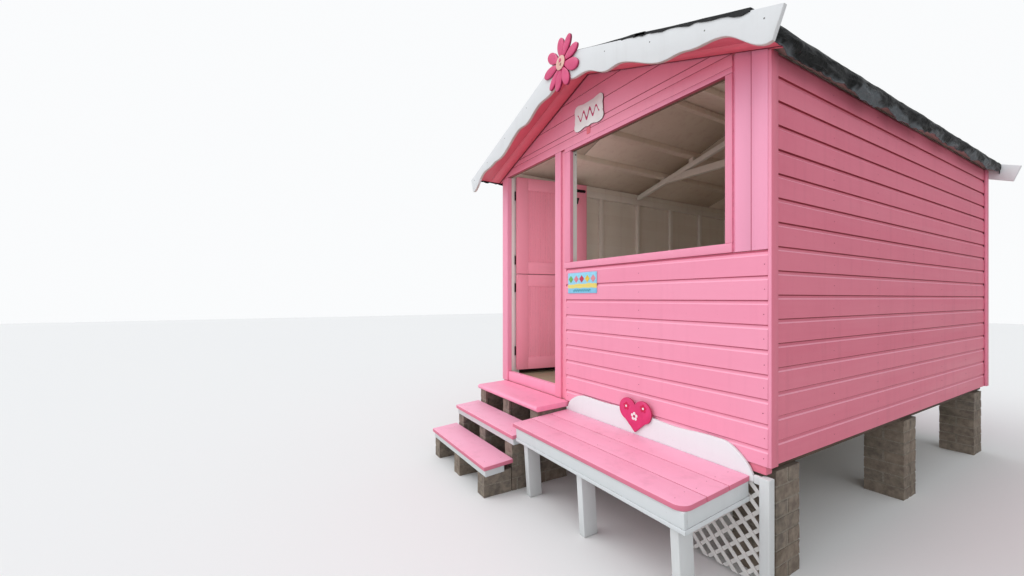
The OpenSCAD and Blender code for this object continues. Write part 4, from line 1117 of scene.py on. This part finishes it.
petals = []
for turn, long, wide in PETALS:
    one = petal(long * FLOWER_R, wide * FLOWER_R)
    one.data.transform(Matrix.Rotation(radians(turn), 4, "Z") @ Matrix.Rotation(radians(jitter(2)), 4, "X"))
    one.data.transform(moved(FLOWER, 90, "X"))
    petals.append(one)
flower = dress(join("ridge_petals", petals), "petal_magenta", "deep_pink_paint", "ridge_flower")
# The petals' sides are painted darker, as painted shade.
second_finish(flower, "petal_side_shade_and_ring", lambda f: f.normal.y > -0.5)


def flat_disc(name, at, radius, proud, dome=0.0002, vertices=14):
    """A round board facing the front, its edge eased and its face lifted a little."""
    disc = start(bpy.ops.mesh.primitive_cylinder_add, name, vertices=vertices, radius=radius, depth=proud,
                 location=at + Vector((0, -proud / 2, 0)), rotation=(radians(90), 0, 0))
    inset(disc, faces_front, *[(radius * share, (0, -dome, 0)) for share in (0.06, 0.2, 0.3)])
    return disc


centre = flat_disc("flower_disc", FLOWER, 0.045, 0.022, 0.0008, 40)
edit(centre)
pick(centre, "faces", lambda f: faces_front(f) and (f.calc_center_median() - FLOWER).xz.length < 0.012)
extrude((0, 0.0016, 0))
done()
dress(centre, "disc_cream", "sign_plate")
dress(flat_disc("flower_ring", FLOWER, 0.0475, 0.0195, 0.0, 40), "petal_side_shade_and_ring", "deep_pink_paint")
for name, x, z, size, finish in (("disc_spot_0", 0.000, 0.016, 0.0120, "petal_magenta"),
                                 ("disc_spot_1", 0.006, -0.014, 0.0090, "worn_spot")):
    dab = flat_disc(name, FLOWER + Vector((x, -0.0232, z)), size, 0.0022, vertices=16)
    dress(dab, finish, "deep_pink_paint")


# Small flowers on the heart

(heart_x0, heart_front, heart_foot), (heart_x1, _, _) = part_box("bench_heart")


def small_flower(name, x, z, size, middle, petal_finish, heart_finish):
    """Five round petals and a raised middle, placed from the foot of the heart."""
    at = Vector(((heart_x0 + heart_x1) / 2, heart_front, heart_foot)) + Vector((x, 0.0002, z))
    rounds = []
    for k in range(5):
        turn = radians(90 + 72 * k)
        centre_now = at + Vector((cos(turn), 0, sin(turn))) * size * 0.64
        rounds.append(flat_disc("round", centre_now, size * 0.37, 0.0012))
    dress(join(name + "_petals", rounds), petal_finish, "sign_plate")
    dress(flat_disc(name + "_middle", at, middle, 0.0022), heart_finish, "sign_plate")


small_flower("left_flower", -0.066, 0.146, 0.025, 0.0068, "flower_red", "flower_white")
small_flower("right_flower", 0.066, 0.156, 0.025, 0.0068, "flower_red", "flower_white")
small_flower("middle_flower", -0.002, 0.096, 0.026, 0.0086, "flower_white", "heart_side_shade_and_middle")


# Plain scroll and tab on the plaque

def ribbon(name, steps, path):
    """A thin flat strip; the path gives the point for u along it and v across it, each from -1 to 1."""
    strip = start(bpy.ops.mesh.primitive_grid_add, name, x_subdivisions=steps, y_subdivisions=2, size=2)
    for point in strip.data.vertices:
        point.co = path(point.co.x, point.co.y)
    modify(strip, "SOLIDIFY", thickness=0.0008, offset=0)
    face_outwards(strip)
    return strip


(plaque_x0, plaque_front, plaque_z0), (plaque_x1, _, plaque_z1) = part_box("name_plaque")
PLAQUE = Vector(((plaque_x0 + plaque_x1) / 2, plaque_front, (plaque_z0 + plaque_z1) / 2))


def scroll_path(u, v):
    wave = 0.030 * sin(3.5 * pi * u) * (1 - 0.3 * u * u)
    return PLAQUE + Vector((0.112 * u, -0.0002, wave + v * 0.0120 * (1.15 - 0.7 * abs(u))))


dress(ribbon("plaque_scroll", 72, scroll_path), "sign_magenta", "sign_plate")

tab = block("plaque_tab", spot(-0.018, -0.0045, 2.471), spot(0.018, 0.0, 2.520))
round_edges(tab, 0.002)
edit(tab)
pick(tab, "faces", faces_front)
bpy.ops.mesh.inset(thickness=0.005, depth=0.0008)
done()
dress(tab, "pink_soffit", "pink_paint")


# Plate under the window, with bands, a row of lozenges and a wave

(plate_x0, plate_front, plate_z0), (plate_x1, _, plate_z1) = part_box("window_plate")
plate = softened("window_plate", "picture_plate", 0.0012)
shader, here = new_finish("plate_bands")
mottle = cloud(here, 30.0, 4.0, 0.6)
drift = span(cloud(here, 22.0, 2.0, 0.5), 0.3, 0.7, -0.004, 0.004)
height_now = plus(put(here.id_data, "SeparateXYZ", i0=here).outputs["Z"], drift)
sky = layered((128, 206, 238), (mottle, (164, 222, 244)))
sand = layered((236, 216, 108), (mottle, (246, 226, 128)))
sea = layered((120, 204, 240), (mottle, (150, 216, 244)))
bands = blend(span(height_now, 1.396, 1.398), sea, blend(span(height_now, 1.425, 1.427), sand, sky))
feed(shader, Base_Color=bands, Roughness=span(mottle, 0.3, 0.7, 0.24, 0.40))
dress(plate, "plate_bands", "sign_plate", "window_plate")

LOZENGES = [(120, 190, 96), (238, 130, 150), (214, 44, 84), (242, 206, 70), (236, 150, 160)]
for number, shade in enumerate(LOZENGES):
    name = "lozenge_%d" % number
    enamel(name, shade, [c * 0.9 for c in shade], 0.35)
    lozenge = start(bpy.ops.mesh.primitive_cylinder_add, name, vertices=4, radius=0.026, depth=0.0016,
                    rotation=(radians(90), 0, 0),
                    location=(plate_x0 + 0.034 + number * 0.060, plate_front - 0.0004, plate_z1 - 0.046))
    inset(lozenge, faces_front, (0.006, (0, -0.0004, 0)))
    dress(lozenge, name, "sign_plate")


def wave_path(u, v):
    z = plate_z0 + 0.020 + 0.006 * sin(7 * pi * u) + v * 0.0042
    return Vector(((plate_x0 + plate_x1) / 2 + 0.092 * u, plate_front - 0.0003, z))


enamel("plate_teal", (40, 150, 170), (30, 128, 150), 0.35)
dress(ribbon("plate_wave", 60, wave_path), "plate_teal", "sign_plate")


# Roof felt

FELT_Y0, FELT_Y1, FELT_OUT, FELT_T = BARGE_Y, DEPTH + 0.082, 0.072, 0.0032
SLOPE_END = (EAVE_X + 0.002 - sin(PITCH) * FELT_OUT) / cos(PITCH)
# The upper sheets start just past the ridge, so that the two slopes close on each other.
RIDGE_S = -SLOPE * FELT_OUT - 0.0035
# Where the lower sheets start, where the upper ones end over them, and how far the fold hangs.
LOWER_S, LAP_S, DROP, FOLD_ROWS, COLUMNS = 0.66, 0.74, 0.100, 12, 170
# Columns at each verge: how far out of the roof's end they stand, and how far they hang over the bargeboard.
VERGE = [(0.0044, 0.017), (0.0044, 0.0), (-0.006, -0.001)]


def rough_at(x, y, scale):
    return noise.noise(Vector((x * scale, y * scale, 3.7)))


def limited(value):
    return max(0.0, min(1.0, value))


def felt_sheet(side, s0, s1, raise_low, drop=0.0, down=20):
    """A sheet of felt on one slope, from s0 to s1 down it, then folded over the eave by the drop."""
    rows = down + (FOLD_ROWS if drop else 0)
    sheet = start(bpy.ops.mesh.primitive_grid_add, "felt", x_subdivisions=COLUMNS, y_subdivisions=rows,
                  size=2)
    for point in sheet.data.vertices:
        column = round((point.co.x + 1) / 2 * COLUMNS)
        row = round((point.co.y + 1) / 2 * rows)
        y = FELT_Y0 + (FELT_Y1 - FELT_Y0) * column / COLUMNS
        s = s0 + (s1 - s0) * min(row, down) / down
        swell = 0.0016 * (1 + rough_at(s, y, 3.1)) + 0.0010 * (1 + rough_at(s, y, 11.0))
        lift = FELT_OUT + swell + raise_low * limited((s - s1 + 0.16) / 0.08)
        inward = min(column, COLUMNS - column)
        if inward < len(VERGE):
            out, hang = VERGE[inward]
            torn = 0.5 + 1.3 * abs(rough_at(s, 1.0 + side, 7.0)) + 0.7 * rough_at(s, 4.0 + side, 29.0)
            # On the right slope alone the lower verge hangs over the bargeboard.
            reach_down = limited((s - 0.30) / 0.35) if side > 0 else 0.0
            lift += 0.0025 * reach_down - hang * (0.12 + reach_down * max(0.1, torn))
            if row <= down:
                out -= 0.018 * (1 - reach_down)
                y = FELT_Y0 - out if column < COLUMNS / 2 else FELT_Y1 + out
        x = s * cos(PITCH) + sin(PITCH) * lift
        z = APEX - s * sin(PITCH) + cos(PITCH) * lift
        if row > down:
            t = (row - down) / FOLD_ROWS
            y = FELT_Y0 + 0.0235 + (FELT_Y1 - FELT_Y0 - 0.047) * column / COLUMNS
            crease = 0.7 * rough_at(y, t * 0.35, 6.0) + 0.4 * rough_at(y, t * 0.6 + 4, 15.0)
            belly = 0.016 * sin(pi * min(1.0, t * 1.15)) ** 0.8
            x += 0.003 + belly * (1 + 0.7 * rough_at(y, 9.0, 2.3)) + 0.026 * t ** 0.6 * max(-0.5, crease)
            z -= drop * t + (0.034 * rough_at(y, 2.0, 4.0) + 0.014 * rough_at(y, 5.0, 26.0)) * t ** 3
        point.co = spot(side * x, y, z)
    face_outwards(sheet)
    if sum(face.normal.z for face in sheet.data.polygons) < 0:
        edit(sheet, every="SELECT")
        bpy.ops.mesh.flip_normals()
        done()
    modify(sheet, "SOLIDIFY", thickness=FELT_T, offset=-1)
    return sheet


sheets = []
for side in (-1, 1):
    sheets.append(felt_sheet(side, LOWER_S, SLOPE_END, 0.0, drop=DROP))
    sheets.append(felt_sheet(side, RIDGE_S, LAP_S, 0.0036, down=22))
dress(join("felt_sheets", sheets), "roof_felt_black", "roof_felt", "roof_felt")


def on_felt(side, s, y, out):
    """A point a little off the roof's slope, at s down it."""
    return spot(side * s * cos(PITCH), y, APEX - s * sin(PITCH)) + roof_normal(side) * (FELT_OUT + out)


clouts = []
for side in (-1, 1):
    for k in range(54):
        drift_y, drift_z = jitter(0.006), jitter(0.0005)
        at = on_felt(side, 0.715, FELT_Y0 + 0.03 + k * 0.0695 + drift_y, 0.0084)
        clouts.append((at + Vector((0, 0, drift_z)), roof_normal(side)))
    for k in range(15):
        for y in (FELT_Y0 + 0.032, FELT_Y1 - 0.032):
            clouts.append((on_felt(side, 0.04 + k * 0.09, y, 0.0015), roof_normal(side)))
nail_rows("felt_clouts", "clout_zinc", 0.005, 0.0012, clouts)


# Light and floor

def swap_for_camera(lit, seen, surface):
    """The camera sees one shader, and the light meets the other."""
    tree = lit.id_data
    ray = put(tree, "LightPath").outputs["Is Camera Ray"]
    tree.links.new(put(tree, "MixShader", i0=ray, i1=lit.outputs[0], i2=seen.outputs[0]).outputs[0], surface)


world = bpy.data.worlds.new("studio_world")
world.use_nodes = True
tree = world.node_tree
background = feed(tree.nodes["Background"], Color=(0.96, 0.98, 1.0, 1))
facing = dot(put(tree, "TexCoord").outputs["Generated"], (-0.22, -0.86, 0.46))
feed(background, Strength=span(facing, -1.0, 1.0, 0.285, 1.235))
backdrop = put(tree, "Background", Color=(0.96, 0.97, 0.98, 1), Strength=1.0)
swap_for_camera(background, backdrop, tree.nodes["World Output"].inputs["Surface"])
bpy.context.scene.world = world

sun_data = bpy.data.lights.new("window_light", "SUN")
sun_data.energy = 0.60
sun_data.angle = radians(40)
show("window_light", sun_data).rotation_euler = (radians(36), 0, radians(-25))

for name, at, tall, wide, power in (
    ("door_fill", spot(-0.300, 0.26, 1.55), 1.7, 0.34, 2.6),
    ("room_fill", spot(1.120, 1.00, 1.45), 1.5, 1.5, 1.2),
):
    fill_data = bpy.data.lights.new(name, "AREA")
    fill_data.shape = "RECTANGLE"
    fill_data.size, fill_data.size_y, fill_data.energy = tall, wide, power
    fill = show(name, fill_data)
    fill.location = at
    fill.rotation_euler = (0, radians(90), 0)
    fill.visible_camera = False
    fill.visible_glossy = False

ground = start(bpy.ops.mesh.primitive_plane_add, "studio_floor", size=60, location=(0, 0, -0.001))
met = feed(new_finish("studio_floor")[0], Base_Color=(0.60, 0.59, 0.57, 1), Roughness=0.9)
pale = put(met.id_data, "BsdfPrincipled", Base_Color=(0.84, 0.84, 0.84, 1), Roughness=0.9)
swap_for_camera(met, pale, met.id_data.nodes["Material Output"].inputs["Surface"])
ground.data.materials.append(finishes["studio_floor"])
